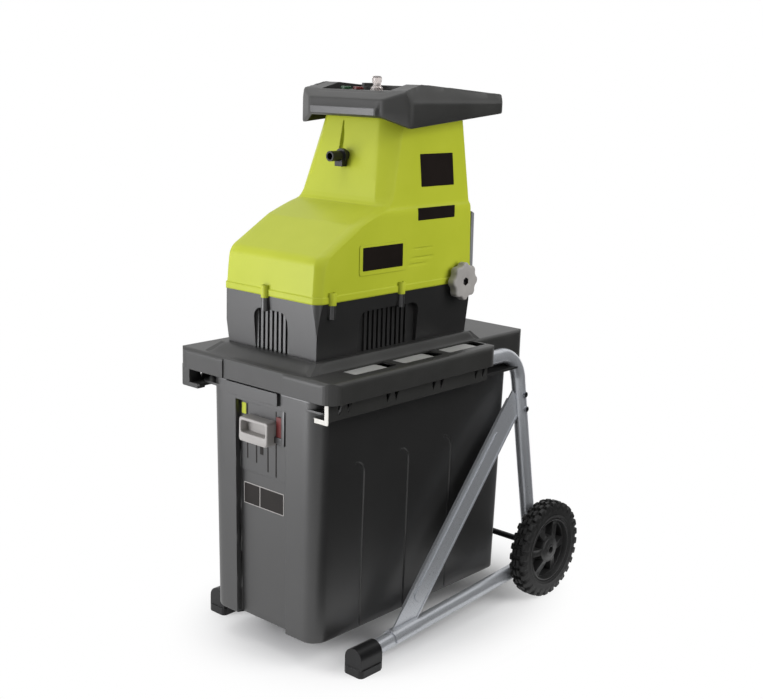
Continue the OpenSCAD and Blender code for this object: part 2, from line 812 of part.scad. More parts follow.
module lower_housing() color("#3c3c40") place() difference() {
    union() {
        difference() {
            housing_form(0, 0);
            housing_form(shell_wall, cut);
        }
        intersection() {
            housing_form(0, 0);
            union() {
                front_arch_form(shell_wall);
                both_sides() side_arch_form(shell_wall);
            }
        }
        at_bosses() rod_z(joint_z - boss_h, joint_z, boss_r);
    }
    at_bosses() rod_z(joint_z - boss_h - cut, joint_z + cut, screw_shank_r + slide_gap / 3);
    difference() {
        front_arch_form(0);
        for (i = [0:front_vents]) {
            x = front_vent_x + (i - front_vents / 2) * front_vent_pitch;
            block([x - fin_w / 2, hood_front + fin_front, platform_z - cut],
                [x + fin_w / 2, hood_front + 2 * vent_back, joint_z]);
        }
    }
    for (i = [0:front_vents - 1]) {
        x = front_vent_x + (i - (front_vents - 1) / 2) * front_vent_pitch;
        block([x - vent_w / 2, hood_front - cut, vent_low], [x + vent_w / 2,
            hood_front + 2 * vent_back, vent_high - 10]);
    }
    both_sides() difference() {
        side_arch_form(0);
        for (i = [0:side_vents]) {
            y = side_vent_y + (i - side_vents / 2) * side_vent_pitch;
            block([hood_half - 2 * vent_back, y - fin_w / 2, platform_z - cut],
                [hood_half - fin_front, y + fin_w / 2, joint_z]);
        }
    }
    for (i = [0:side_vents - 1]) {
        y = side_vent_y + (i - (side_vents - 1) / 2) * side_vent_pitch;
        block([-hood_w, y - vent_w / 2, vent_low], [hood_w, y + vent_w / 2, vent_high - 4]);
    }
    knob_hole();
}

// Side view of the hood's body, drawn in by d: a rounded nose, a sloping bonnet and a flat shoulder
function nose_profile(d, over) =
    let (c = [hood_front + nose_lean + nose_r, joint_z + nose_h - nose_r],
         top = [tower_front, shoulder_z] - c,
         slope = atan2(top[1], top[0]) - asin(nose_r / norm(top)),
         t = c + (nose_r - d) * [-sin(slope), cos(slope)])
    concat([[hood_front + d, joint_z - over]], arc(c, nose_r - d, 180, 90 + slope),
        [[t[0] + (shoulder_z - d - t[1]) / tan(slope), shoulder_z - d],
         [hood_rear - body_lean - d, shoulder_z - d], [hood_rear - d, joint_z - over]]);

// Front view of the hood's body, drawn in by d
function body_section(d, over) =
    let (x = hood_half - 2 - d, r = shoulder_r - d, z = shoulder_z - shoulder_r)
    concat([[-hood_half + d, joint_z - over], [hood_half - d, joint_z - over]],
        arc([x - r, z], r, 0, 90), arc([-x + r, z], r, 90, 180));

// Section across the sloping bonnet, with rounded edges, run along the slope
module bonnet_form(d) {
    c = [hood_front + nose_lean + nose_r, joint_z + nose_h - nose_r];
    top = [tower_front, shoulder_z] - c;
    slope = atan2(top[1], top[0]) - asin(nose_r / norm(top));
    x = hood_half - d;
    translate([0, tower_front, shoulder_z]) rotate([slope, 0, 0])
        along_y(-hood_len, hood_len) polygon(top_round(-x, x, -hood_len, -d, shoulder_r - d));
}

module body_form(d, over) intersection() {
    bonnet_form(d);
    along_x(-hood_w, hood_w) polygon(nose_profile(d, over));
    along_y(hood_front - cut, hood_rear + cut) polygon(body_section(d, over));
    along_z(joint_z - over, shoulder_z + cut) hood_plan(d);
}

// Tower over the shoulder, tapering upwards and leaning back at its front
module tower_form(d, over) {
    sink = shoulder_r + shell_wall;
    f = tower_lean / tower_h;
    w = (tower_w - tower_top_w) / 2 / tower_h;
    g = tower_rear_lean / tower_h;
    rear = hood_rear - tower_rear_gap;
    intersection() {
        along_x(-hood_w, hood_w)
            polygon(band(tower_front + d - f * sink, rear - d + g * sink, shoulder_z - sink,
                tower_front + d + f * (tower_h + over), rear - d - g * (tower_h + over), tower_z + over));
        along_y(hood_front, hood_rear + cut)
            polygon(band(-tower_w / 2 + d - w * sink, tower_w / 2 - d + w * sink, shoulder_z - sink,
                -tower_w / 2 + d + w * (tower_h + over), tower_w / 2 - d - w * (tower_h + over),
                    tower_z + over));
    }
}

inlet_z = shoulder_z + inlet_h;
inlet_face_y = tower_front + tower_lean * inlet_h / tower_h;
inlet_r = inlet_d / 2;

module hood() color("#c3cf2e") place() difference() {
    union() {
        difference() {
            union() {
                body_form(0, 0);
                tower_form(0, 0);
            }
            body_form(shell_wall, cut);
            tower_form(shell_wall, cut);
        }
        difference() {
            along_z(joint_z, joint_z + rim_h) hood_plan(-rim_out);
            along_z(joint_z - cut, joint_z + rim_h + cut) hood_plan(shell_wall / 2);
        }
        at_bosses() rod_z(joint_z, joint_z + boss_h, boss_r);
    }
    at_bosses() rod_z(joint_z - cut, joint_z + boss_h, screw_shank_r + slide_gap / 3);
    at_bosses() rod_z(joint_z + boss_h * 0.6, joint_z + boss_h + cut, screw_head_r + slide_gap);
    translate([0, 0, inlet_z])
        rod_y(tower_front - inlet_d, inlet_face_y + 1.5 * inlet_d, inlet_r + slide_gap);
    knob_hole();
}

module hood_screws() color("#2a2a2c") place() at_bosses() {
    rod_z(joint_z - boss_h, joint_z + boss_h * 0.6 + 0.5, screw_shank_r);
    rod_z(joint_z + boss_h * 0.6, joint_z + boss_h * 0.6 + 3, screw_head_r);
}

// Plate on the hood's rear, along the lean of that wall
module rear_cover() color("#55565a") place() {
    z0 = joint_z + 18;
    z1 = z0 + rear_cover_h;
    y0 = hood_rear - body_lean * (z0 - joint_z) / shoulder_h;
    y1 = hood_rear - body_lean * (z1 - joint_z) / shoulder_h;
    along_x(-hood_half + 4, hood_half - 4) polygon([[y0, z0], [y0 + 8, z0 + 4], [y1 + 8, z1 - 4],
        [y1, z1]]);
}

module cable_inlet() color("#17171a") place() translate([0, 0, inlet_z]) difference() {
    union() {
        rod_y(inlet_face_y - 40, inlet_face_y + 20, inlet_r);
        rod_y(inlet_face_y - 13, inlet_face_y - 6, inlet_r + 4);
        block([-inlet_r, inlet_face_y - 18, -inlet_r - 9], [inlet_r, inlet_face_y - 6, -inlet_r / 2]);
    }
    rod_y(inlet_face_y - 40 - cut, inlet_face_y + 20 + cut, inlet_r - 3);
}

// Outer body of the tray: plan, side view and front view cut into each other
module tray_form() {
    rim_z = tower_z + tray_rise;
    bevel = 15;
    intersection() {
        along_z(tower_z - tray_skirt - cut, rim_z + cut) polygon(tray_plan(0));
        along_x(-tray_w, tray_w) polygon([[tray_front - cut, tower_z], [tray_front + tray_corner,
            tower_z - tray_skirt],
            [tray_rear + cut, tower_z + 7], [tray_rear + cut, rim_z - bevel], [tray_front + 70, rim_z],
            [panel_y - 2, panel_z], [tray_front - cut, rim_z - 26]]);
        along_y(tray_front - cut, tray_rear + cut)
            polygon([[-tray_half, tower_z - 2 * tray_skirt], [tray_half, tower_z - 2 * tray_skirt],
                [tray_half, rim_z - 2 * bevel], [tray_half - bevel, rim_z],
                [-tray_half + bevel, rim_z], [-tray_half, rim_z - 2 * bevel]]);
    }
}
function tray_plan(d) = let (x = tray_half - d, p = tray_panel_w / 2 - d / 2, y0 = tray_front + d,
    y1 = tray_rear - d)
    [[-p, y0], [p, y0], [x, y0 + tray_corner], [x, y1 - 8], [x - 8, y1], [8 - x, y1], [-x, y1 - 8],
        [-x, y0 + tray_corner]];

// Funnel from the feed mouth down to the throat, drawn out by d
module funnel_form(d) intersection() {
    along_y(tray_front, tray_rear) polygon(band(-throat_w / 2 - d, throat_w / 2 + d, tower_z - cut,
        -mouth_w / 2 - d, mouth_w / 2 + d, tower_z + tray_rise + cut));
    along_x(-tray_w, tray_w) polygon(band(throat_rear - throat_len - d, throat_rear + d, tower_z - cut,
        mouth_rear - mouth_len - d, mouth_rear + d, tower_z + tray_rise + cut));
}
tray_pocket = 12;

module hopper_tray() color("#232326") place() difference() {
    tray_form();
    along_z(tower_z - 2 * tray_skirt, tower_z) polygon(tray_plan(tray_wall));
    funnel_form(0);
    for (s = [-1, 1]) along_z(tower_z - cut, tower_z + tray_pocket) polygon(soft_rect(
        s * (tray_half + throat_w / 2 + 22) / 2 - 14, s * (tray_half + throat_w / 2 + 22) / 2 + 14,
        tray_front + tray_corner + 4, throat_rear, 3, 3));
    block([-panel_w / 2 - slide_gap, panel_y - slide_gap, panel_z - panel_t],
        [panel_w / 2 + slide_gap, panel_y + panel_len + slide_gap, panel_z + tray_rise]);
    block([-panel_w / 2 + 6, panel_y + 6, tower_z - cut], [panel_w / 2 - 6, panel_y + panel_len - 6,
        panel_z]);
}

// Runs its children at each round control, with the radius of its hole in the panel
module at_control(p) translate([p[0], p[1], 0]) children();

module control_panel() color("#2d2d30") place() difference() {
    block([-panel_w / 2, panel_y, panel_z - panel_t], [panel_w / 2, panel_y + panel_len, panel_z]);
    for (p = [start_at, stop_at]) at_control(p) rod_z(panel_z - 2 * panel_t, panel_z + cut,
        button_r + slide_gap);
    at_control(reset_at) rod_z(panel_z - 2 * panel_t, panel_z + cut, boot_r + slide_gap);
    at_control(selector_at) rod_z(panel_z - 2 * panel_t, panel_z + cut, stem_r + run_play);
}

stem_low = panel_z - panel_t - 20;
module switch_box() color("#46464a") place() difference() {
    block([-panel_w / 2 + 8, panel_y + 8, tower_z - 8], [panel_w / 2 - 8, panel_y + panel_len - 8,
        panel_z - panel_t]);
    for (p = [start_at, stop_at, reset_at, selector_at])
        at_control(p) rod_z(stem_low - button_travel - cut, panel_z, stem_r + slide_gap);
}

// Push button: a cap over the panel on a stem into the switch box
module push_button(p, r) place() at_control(p) {
    rod_z(stem_low, panel_z + 1, stem_r);
    translate([0, 0, panel_z + button_gap]) rotate_extrude()
        polygon([[0, 0], [r, 0], [r, 4], [r - 1, 5], [0, 5]]);
}
module start_button() color("#2f8f4a") push_button(start_at, button_r);
module stop_button() color("#b5232b") push_button(stop_at, button_r);

module reset_button() color("#b9a9a6") place() at_control(reset_at) {
    rod_z(stem_low, panel_z + 1, stem_r);
    translate([0, 0, panel_z + button_gap]) rotate_extrude() polygon(concat([[0, 0], [boot_r, 0],
        [boot_r, 4],
        [boot_r - 4, 7], [boot_r - 4, boot_h - 13], [boot_r - 2.5, boot_h - 10]],
        arc([boot_r - 6.5, boot_h - 4.5], 4, 0, 90), [[0, boot_h - button_gap]]));
}

module selector_knob() color("#1b1b1d") place() at_control(selector_at) {
    rod_z(stem_low, panel_z + 1, stem_r);
    rod_z(panel_z + button_gap, panel_z + 6, 12);
    block([-3, -12, panel_z + 5], [3, 12, panel_z + 12]);
}

// Chute from the tray's throat down to the cutter housing, drawn in by d
module chute_form(d, over) intersection() {
    along_y(cutter_y - cut, hood_rear)
        polygon(band(cutter_left - cutter_wall + d, cutter_right + cutter_wall - d, cutter_top - over,
            -throat_w / 2 - 2 + d, throat_w / 2 + 2 - d, tower_z + over));
    along_x(-hood_w, hood_w)
        polygon(band(cutter_y + d, cutter_rear + cutter_wall - d, cutter_top - over,
            throat_rear - throat_len - 2 + d, throat_rear + 2 - d, tower_z + over));
}
chute_wall = 2.5;
module feed_chute() color("#3a3a3d") place() difference() {
    chute_form(0, 0);
    chute_form(chute_wall, cut);
}

module discharge_chute() color("#2b2b2e") place() difference() {
    union() {
        along_z(deck_z - skirt_h - 4, platform_z + 3) chute_plan(0);
        along_z(platform_z, platform_z + 3) chute_plan(-3.5);
    }
    along_z(deck_z - skirt_h - 5, platform_z + 4) chute_plan(chute_wall);
}

// Height of the platform's underside over the front slope
function slope_under(y) = min(platform_z, deck_z - cut
    + (y - platform_front + platform_nose) * (platform_rise + cut) / platform_nose) - deck_wall;

module interlock_switch() color("#8a2a22") place() {
    plunger_y = (pin_front + pin_back) / 2;
    y0 = plunger_y - 10;
    y1 = platform_front;
    along_x(pin_mid - 12, pin_mid + 12)
        polygon([[y0, pin_top + 16], [y1, pin_top + 16], [y1, slope_under(y1)], [y0, slope_under(y0)]]);
    translate([pin_mid, plunger_y, 0]) rod_z(pin_top + 1.5, pin_top + 17, 2.5);
}

module at_motor() translate([motor_x, 0, motor_z]) children();
module at_lay() translate([lay_x, 0, lay_z]) children();
module at_drum() translate([drum_x, 0, drum_z]) children();

module motor_case() color("#6d7278") place() at_motor() difference() {
    rod_y(motor_y, gearbox_y, motor_r);
    rod_y(motor_y - cut, gearbox_y + cut, motor_r - motor_wall);
}

module motor_shield() color("#7d8288") place() at_motor() difference() {
    rod_y(motor_y - shield_t, motor_y, motor_r);
    rod_y(motor_y - shield_t - cut, motor_y + cut, motor_bearing_r + run_play);
    for (a = [30:60:330]) rotate([0, a, 0]) translate([motor_r * 0.55, 0, 0])
        rod_y(motor_y - shield_t - cut, motor_y + cut, motor_r / 8);
}

stator_y = motor_y + 12;
stator_len = motor_len - 34;
module stator_core() color("#8b4a2b") place() at_motor() difference() {
    rod_y(stator_y, stator_y + stator_len, motor_r - motor_wall - run_play);
    rod_y(stator_y - cut, stator_y + stator_len + cut, rotor_r + air_gap);
}

capacitor_r = 18;
module capacitor() color("#d9d9d4") place()
    translate([-hood_half + vent_back + shell_wall + capacitor_r + 5, motor_y + 50, 0])
    rod_z(platform_z, platform_z + 88, capacitor_r);

// Plain bearing ring along Y
module bearing(y0, y1, r_out, r_in) difference() {
    rod_y(y0, y1, r_out);
    rod_y(y0 - cut, y1 + cut, r_in + run_play);
}
module motor_bearings() color("#b9bec4") place() at_motor() {
    bearing(motor_y - shield_t, motor_y, motor_bearing_r, shaft_r);
    bearing(gearbox_y, room_y, motor_bearing_r, shaft_r);
}
module lay_bearings() color("#b9bec4") place() at_lay() {
    bearing(gearbox_y, room_y, lay_bearing_r, shaft_r);
    bearing(cover_y, cutter_y, lay_bearing_r, shaft_r);
}
module drum_bearings() color("#b9bec4") place() at_drum() {
    bearing(cover_y, cutter_y, drum_bearing_r, drum_shaft_r);
    bearing(cutter_rear, cutter_rear + cutter_wall, drum_bearing_r, drum_shaft_r);
}

gearbox_skin = gear_margin - gear_room_gap;
module gearbox_housing() color("#7d8288") place() difference() {
    union() {
        block([gearbox_left, gearbox_y, gearbox_low], [gearbox_right, cover_y, gearbox_top]);
        for (x = [gearbox_left, gearbox_right - 16]) block([x, gearbox_y, platform_z], [x + 16,
            cover_y, gearbox_low]);
    }
    block([gearbox_left + gearbox_skin, room_y, gearbox_low + gearbox_skin],
        [gearbox_right - gearbox_skin, cover_y + cut, gearbox_top - gearbox_skin]);
    at_motor() rod_y(gearbox_y - cut, room_y + cut, motor_bearing_r + run_play);
    at_lay() rod_y(gearbox_y - cut, room_y + cut, lay_bearing_r + run_play);
}

module gearbox_cover() color("#8a8f95") place() difference() {
    block([min(gearbox_left, cutter_left - cutter_wall), cover_y, platform_z],
        [max(gearbox_right, cutter_right + cutter_wall), cutter_y, gearbox_top]);
    at_drum() rod_y(cover_y - cut, cutter_y + cut, drum_bearing_r + run_play);
    at_lay() rod_y(cover_y - cut, cutter_y + cut, lay_bearing_r + run_play);
}

bush_r = adjuster_r + 4;
module cutter_housing() color("#8a8f95") place() difference() {
    block([cutter_left - cutter_wall, cutter_y, platform_z],
        [cutter_right + cutter_wall, cutter_rear + cutter_wall, cutter_top]);
    block([cutter_left, cutter_y - cut, platform_z - cut], [cutter_right, cutter_rear, cutter_top + cut]);
    at_drum() rod_y(cutter_rear - cut, cutter_rear + cutter_wall + cut, drum_bearing_r + run_play);
    translate([0, knob_y, drum_z]) rod_x(cutter_right - cut, cutter_right + cutter_wall + cut,
        bush_r + run_play);
}

bush_flange = 4;
module adjuster_bush() color("#c8a24a") place() translate([0, knob_y, drum_z]) difference() {
    union() {
        rod_x(cutter_right, cutter_right + cutter_wall + 1, bush_r);
        rod_x(cutter_right + cutter_wall, cutter_right + cutter_wall + bush_flange, bush_r + 4);
    }
    rod_x(cutter_right - cut, cutter_right + cutter_wall + bush_flange + cut, adjuster_r + run_play);
}

// Toothed wheel with its first tooth at an angle in the plane of X and Z
module toothed(n, m, y0, y1, angle) along_y(y0, y1) rotate(angle) polygon(gear_points(n, m));

module motor_shaft() color("#c9ced4") place() at_motor() {
    neck = motor_gear_m * (motor_pinion_n / 2 - dedendum) - 0.4;
    rod_y(motor_y - shield_t - fan_t - 2, room_y + 0.5, shaft_r);
    rod_y(room_y, lay_gear_y, neck);
    toothed(motor_pinion_n, motor_gear_m, lay_gear_y - cut, lay_gear_y + lay_gear_w + cut,
        motor_angle + 180 + 180 / motor_pinion_n);
}
module rotor_core() color("#9b9ea2") place() at_motor() difference() {
    rod_y(stator_y + 8, stator_y + stator_len - 8, rotor_r);
    rod_y(stator_y, stator_y + stator_len, shaft_r + run_play);
}
module fan() color("#26262a") place() at_motor() difference() {
    union() {
        rod_y(motor_y - shield_t - fan_t, motor_y - shield_t - 2, shaft_r + 5);
        rod_y(motor_y - shield_t - 4, motor_y - shield_t - 2, fan_r);
        for (i = [0:fan_blades - 1]) rotate([0, 360 * i / fan_blades, 0])
            block([shaft_r + 3, motor_y - shield_t - fan_t, -1.2], [fan_r, motor_y - shield_t - 3, 1.2]);
    }
    rod_y(motor_y - shield_t - fan_t - cut, motor_y, shaft_r + run_play);
}

module layshaft() color("#c9ced4") place() at_lay() {
    rod_y(gearbox_y + cut, cutter_y - cut, shaft_r);
    toothed(lay_pinion_n, drum_gear_m, drum_gear_y - cut, drum_gear_y + drum_gear_w + cut,
        lay_angle + 180 + 180 / lay_pinion_n);
}
module lay_gear() color("#aab0b6") place() at_lay() difference() {
    toothed(lay_gear_n, motor_gear_m, lay_gear_y, lay_gear_y + lay_gear_w, motor_angle);
    rod_y(lay_gear_y - cut, lay_gear_y + lay_gear_w + cut, shaft_r + run_play);
}

module drum_shaft() color("#c9ced4") place() at_drum()
    rod_y(drum_gear_y - cut, cutter_rear + cutter_wall, drum_shaft_r);
module drum_gear() color("#aab0b6") place() at_drum() difference() {
    toothed(drum_gear_n, drum_gear_m, drum_gear_y, drum_gear_y + drum_gear_w, lay_angle);
    rod_y(drum_gear_y - cut, drum_gear_y + drum_gear_w + cut, drum_shaft_r + run_play);
}
module cutting_drum() color("#5b5f64") place() at_drum() difference() {
    along_y(drum_y, drum_y + drum_len) difference() {
        circle(drum_r);
        for (i = [0:drum_teeth - 1]) rotate(360 * i / drum_teeth)
            polygon([[drum_r - drum_slot, 0], [drum_r + cut, 0], [drum_r + cut, drum_slot * 1.4],
                [drum_r - drum_slot, drum_slot * 0.5]]);
    }
    rod_y(drum_y - cut, drum_y + drum_len + cut, drum_shaft_r + run_play);
}

module pressure_plate() color("#9c8f86") place() difference() {
    union() {
        block([plate_x, drum_y, drum_z - plate_half_h], [plate_x + plate_t, drum_y + drum_len,
            drum_z + plate_half_h]);
        translate([0, knob_y, drum_z]) rod_x(plate_x + plate_t - cut, plate_x + plate_t + plate_boss,
            adjuster_r * 2);
    }
    translate([0, knob_y, drum_z])
        rod_x(plate_x + plate_t / 3, plate_x + plate_t + plate_boss + cut, adjuster_r + run_play);
}
adjuster_nose = plate_x + plate_t / 3 + plate_travel + 2;
module adjuster_screw() color("#c9ced4") place() translate([0, knob_y, drum_z]) {
    rod_x(adjuster_nose, knob_x + knob_t - 6, adjuster_r);
    rod_x(cutter_right + cutter_wall + bush_flange + 0.5, cutter_right + cutter_wall + bush_flange + 4,
        adjuster_r + 3);
}
hex_r = 6;
module adjuster_knob() color("#b3aea8") place() translate([0, knob_y, drum_z]) difference() {
    along_x(knob_x, knob_x + knob_t) difference() {
        circle(knob_d / 2);
        for (i = [0:knob_lobes - 1]) rotate(360 * i / knob_lobes) translate([knob_d / 2 + 6, 0]) circle(10);
    }
    rod_x(knob_x - cut, knob_x + knob_t - 5.5, adjuster_r + run_play);
    translate([knob_x + knob_t - 4, 0, 0]) rotate([0, 90, 0]) cylinder(h = 5, r = hex_r, $fn = 6);
}

// Tapered box with rounded corners, drawn in by d
module box_form(d, low) intersection() {
    along_y(0, deck_len) polygon(band(-box_bottom_w / 2 + d, box_bottom_w / 2 - d, low,
        -box_top_w / 2 + d, box_top_w / 2 - d, box_top_z + (d == 0 ? 0 : cut)));
    along_x(-box_top_w, box_top_w) polygon(band(box_front + box_draft + d, box_rear - box_draft - d, low,
        box_front + d, box_rear - d, box_top_z + (d == 0 ? 0 : cut)));
    along_z(low, box_top_z + cut) polygon(soft_rect(-box_top_w / 2 + d, box_top_w / 2 - d,
        box_front + d, box_rear - d,
        box_corner - d, box_corner - d));
}

// Distance of the box's front face at a height
function box_face(z) = box_front + box_draft * (box_top_z - z) / (box_top_z - box_floor_z);

// Sunk panel in the box's front, drawn out by d
module sunk_form(d) {
    low = box_floor_z - cut;
    high = sunk_top + d;
    along_x(sunk_left - d, sunk_right + d) polygon([[0, low], [box_face(low) + sunk_depth + d, low],
        [box_face(high) + sunk_depth + d, high], [0, high]]);
}

// Shallow hooked grooves on the box's sides
groove_depth = 1.2;
groove_y = [146, 264, 386];
groove_top = 352;
groove_bend = 14;
module groove_lines() for (y = groove_y) along_x(-box_top_w, box_top_w) polygon(concat(
    [[y, box_floor_z - cut], [y + groove_w, box_floor_z - cut]],
    arc([y + groove_w - groove_bend, groove_top], groove_bend, 0, 90),
    [[y - groove_bend, groove_top + groove_bend], [y - groove_bend, groove_top + groove_bend - groove_w]],
    arc([y + groove_w - groove_bend, groove_top], groove_bend - groove_w, 90, 0)));

// Tongue in front of the box's rim
tongue_left = -86;
tongue_right = 45;
tongue_front = box_front - 6;
module collection_box() color("#2f2f32") place() difference() {
    union() {
        difference() {
            box_form(0, box_floor_z);
            sunk_form(0);
            intersection() {
                groove_lines();
                difference() {
                    box_form(-cut, box_floor_z - cut);
                    box_form(groove_depth, box_floor_z - 2 * cut);
                }
            }
        }
        block([-flange_half, box_front + 12, flange_z], [flange_half, deck_step - 12, flange_z + flange_t]);
        along_x(tongue_left, tongue_right) polygon([[tongue_front, rail_z], [tongue_front, box_top_z],
            [box_front + cut, box_top_z], [box_face(rail_z) + cut, rail_z]]);
    }
    difference() {
        box_form(box_wall, box_floor_z + box_wall);
        sunk_form(box_wall);
    }
    block([pin_mid - pin_w / 2 - 1, pin_front - 1, sunk_top - cut],
        [pin_mid + pin_w / 2 + 1, pin_back + 1, sunk_top + box_wall + cut]);
}

// Plate on the sunk panel, with slots for the keys of the latch
slot_x = [-23, 6];
slot_low = latch_z - latch_travel - 12;
slot_high = latch_z + 14;
module latch_guide() color("#1d1d20") place() difference() {
    along_x(sunk_left + 6, latch_right + 2) polygon([[guide_front, guide_low], [guide_front, guide_high],
        [box_face(guide_high) + sunk_depth, guide_high], [box_face(guide_low) + sunk_depth, guide_low]]);
    for (x = concat(slot_x, [slot_x[0] - 23, slot_x[1] + 20]))
        block([x - slot_w / 2, guide_front - cut, slot_low], [x + slot_w / 2, guide_front + 3.5,
            slot_high]);
    block([-14, guide_front - cut, latch_z - 30], [-5, guide_front + 3.5, slot_high]);
}

// Fixed coloured stop beside the latch
module latch_stop() color("#a02a2a") place() {
    z0 = latch_z + 12;
    z1 = z0 + 40;
    along_x(latch_right + 3, latch_right + 15) polygon([[guide_front + 1, z0], [guide_front + 1, z1],
        [box_face(z1) + sunk_depth, z1], [box_face(z0) + sunk_depth, z0]]);
}

handle_back = guide_front - slide_gap;
grip_wall = 8;
module latch_handle() color("#c4c5c6") place() difference() {
    union() {
        along_y(handle_back - latch_depth, handle_back)
            polygon(soft_rect(latch_left, latch_right, latch_z, latch_z + latch_h, 9, 4));
        block([latch_right - cut, handle_back - 6.5, latch_z + 31],
            [pin_mid + pin_w / 2, handle_back, latch_z + latch_h - 1]);
        block([pin_mid - pin_w / 2, handle_back - 4, latch_z + 31], [pin_mid + pin_w / 2, pin_back,
            latch_z + latch_h - 1]);
        block([pin_mid - pin_w / 2, pin_front, latch_z + 28], [pin_mid + pin_w / 2, pin_back, pin_top]);
        for (x = slot_x) block([x - slot_w / 2 + slide_gap, handle_back - cut, latch_z],
            [x + slot_w / 2 - slide_gap, guide_front + 2.5, latch_z + 10]);
    }
    along_y(handle_back - latch_depth - cut, handle_back - 4) polygon(soft_rect(latch_left + grip_wall,
        latch_right - grip_wall, latch_z + grip_wall, latch_z + latch_h - grip_wall, 8, 3));
}

module wheel_place() place() translate([0, axle_y, wheel_r]) children();
rim_gap = 2;
module wheel() color("#2b2b2e") wheel_place() difference() {
    union() {
        along_x(wheel_out - wheel_w + 10, wheel_out - 8) for (i = [0:spokes - 1]) rotate(360 * i / spokes)
            translate([hub_r / 2, -spoke_w / 2]) square([rim_r - rim_ring / 2 - hub_r / 2, spoke_w]);
        difference() {
            rod_x(wheel_out - wheel_w + rim_gap, wheel_out - rim_gap, rim_r);
            rod_x(wheel_out - wheel_w, wheel_out, rim_r - rim_ring);
        }
        rod_x(wheel_out - wheel_w, wheel_out - 1, hub_r);
    }
    rod_x(wheel_out - wheel_w - cut, wheel_out - 5, axle_r + run_play);
}
module tyre() color("#1a1a1c") wheel_place() rotate([0, 90, 0]) translate([0, 0, wheel_out - wheel_w])
    rotate_extrude() translate([rim_r, 0]) polygon(soft_rect(0, wheel_r - rim_r, 0, wheel_w, 7, 7));
module wheel_right() wheel();
module wheel_left() left() wheel();
module tyre_right() tyre();
module tyre_left() left() tyre();

deck();
rail_left();
rail_right();
top_tube_left();
top_tube_right();
leg_left();
leg_right();
skid_left();
skid_right();
brace_left();
brace_right();
foot_left();
foot_right();
axle();
frame_screws();
lower_housing();
hood();
hood_screws();
rear_cover();
cable_inlet();
hopper_tray();
control_panel();
switch_box();
feed_chute();
discharge_chute();
interlock_switch();
motor_case();
motor_shield();
stator_core();
capacitor();
motor_bearings();
gearbox_housing();
gearbox_cover();
lay_bearings();
cutter_housing();
drum_bearings();
adjuster_bush();
motor_shaft();
rotor_core();
fan();
layshaft();
lay_gear();
drum_shaft();
cutting_drum();
drum_gear();
pressure_plate();
adjuster_screw();
adjuster_knob();
start_button();
stop_button();
reset_button();
selector_knob();
collection_box();
latch_guide();
latch_stop();
latch_handle();
wheel_left();
tyre_left();
wheel_right();
tyre_right();
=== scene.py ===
# %% [markdown]
# # A garden shredder on its collection box
# The machine stands on a tube frame with two wheels. A black deck carries the lime hood with the
# motor and the cutting drum, and a grey box slides out from under it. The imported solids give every
# place and size, and this lesson adds what a solid model leaves out: finishes, moulded skins, treads.

import math

import bpy
import numpy as np
from mathutils import Matrix


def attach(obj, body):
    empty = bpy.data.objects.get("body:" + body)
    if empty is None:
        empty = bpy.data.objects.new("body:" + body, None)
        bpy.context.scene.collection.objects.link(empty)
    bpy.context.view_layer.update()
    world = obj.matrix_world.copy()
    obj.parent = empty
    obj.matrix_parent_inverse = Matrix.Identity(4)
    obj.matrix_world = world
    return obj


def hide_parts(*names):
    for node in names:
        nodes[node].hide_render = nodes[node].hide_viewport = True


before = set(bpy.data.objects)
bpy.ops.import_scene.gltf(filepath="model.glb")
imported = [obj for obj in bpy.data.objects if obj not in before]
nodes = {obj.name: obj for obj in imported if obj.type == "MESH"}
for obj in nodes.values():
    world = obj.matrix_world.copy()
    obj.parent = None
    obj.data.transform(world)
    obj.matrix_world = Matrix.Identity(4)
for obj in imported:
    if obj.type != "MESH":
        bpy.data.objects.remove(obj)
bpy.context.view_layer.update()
scene = bpy.context.scene
slot_of = {name: node.data.materials[0].name for name, node in nodes.items()}

# %% [markdown]
# ## Measures and grids
# All measures are in millimetres, with y counted from the deck's front edge, as on a drawing. A shape
# is a grid of points worked out as whole arrays; one function turns any grid into a mesh. Closed
# shapes are tested by their signed volume, so that their faces always point outwards.

# %% Helpers for grids
front_edge = 353  # from the deck's front edge back to the frame's origin
sides = ((1, "right"), (-1, "left"))


def metres(points):
    """Drawing to frame: y less the way from the front edge to the origin, then all divided by 1000."""
    return (np.asarray(points, float) - (0, front_edge, 0)) / 1000


def surface(name, grid, wrap=False, ends=False, crease=40):
    """A mesh from a grid of points: each four neighbours make one face.
    wrap joins the last column to the first, ends closes the first and the last row with a face each.
    Faces turn outwards by the sign of the volume, a sixth of the sum of a . (b x c) over the faces."""
    rows, cols = grid.shape[:2]
    index = np.arange(rows * cols).reshape(rows, cols)
    if wrap:
        index = np.hstack([index, index[:, :1]])
    four = [index[:-1, :-1], index[:-1, 1:], index[1:, 1:], index[1:, :-1]]
    quads = np.stack(four, -1).reshape(-1, 4)
    faces = quads.tolist()
    if ends:
        faces += [index[0, :cols][::-1].tolist(), index[-1, :cols].tolist()]
    points = metres(grid.reshape(-1, 3))
    middle = points - points.mean(0)
    a, b, c, d = (middle[quads[:, k]] for k in range(4))
    volume = (a * np.cross(b, c)).sum() + (a * np.cross(c, d)).sum()
    if volume < 0:
        faces = [face[::-1] for face in faces]
    mesh = bpy.data.meshes.new(name)
    mesh.from_pydata(points, [], faces)
    mesh.polygons.foreach_set("use_smooth", np.ones(len(faces), bool))
    mesh.set_sharp_from_angle(angle=math.radians(crease))
    obj = bpy.data.objects.new(name, mesh)
    scene.collection.objects.link(obj)
    return obj


def step(value, low, high):
    """A soft step: 0 below low, 1 above high, and 3t^2 - 2t^3 between."""
    t = np.clip((np.asarray(value, float) - low) / (high - low), 0, 1)
    return t * t * (3 - 2 * t)


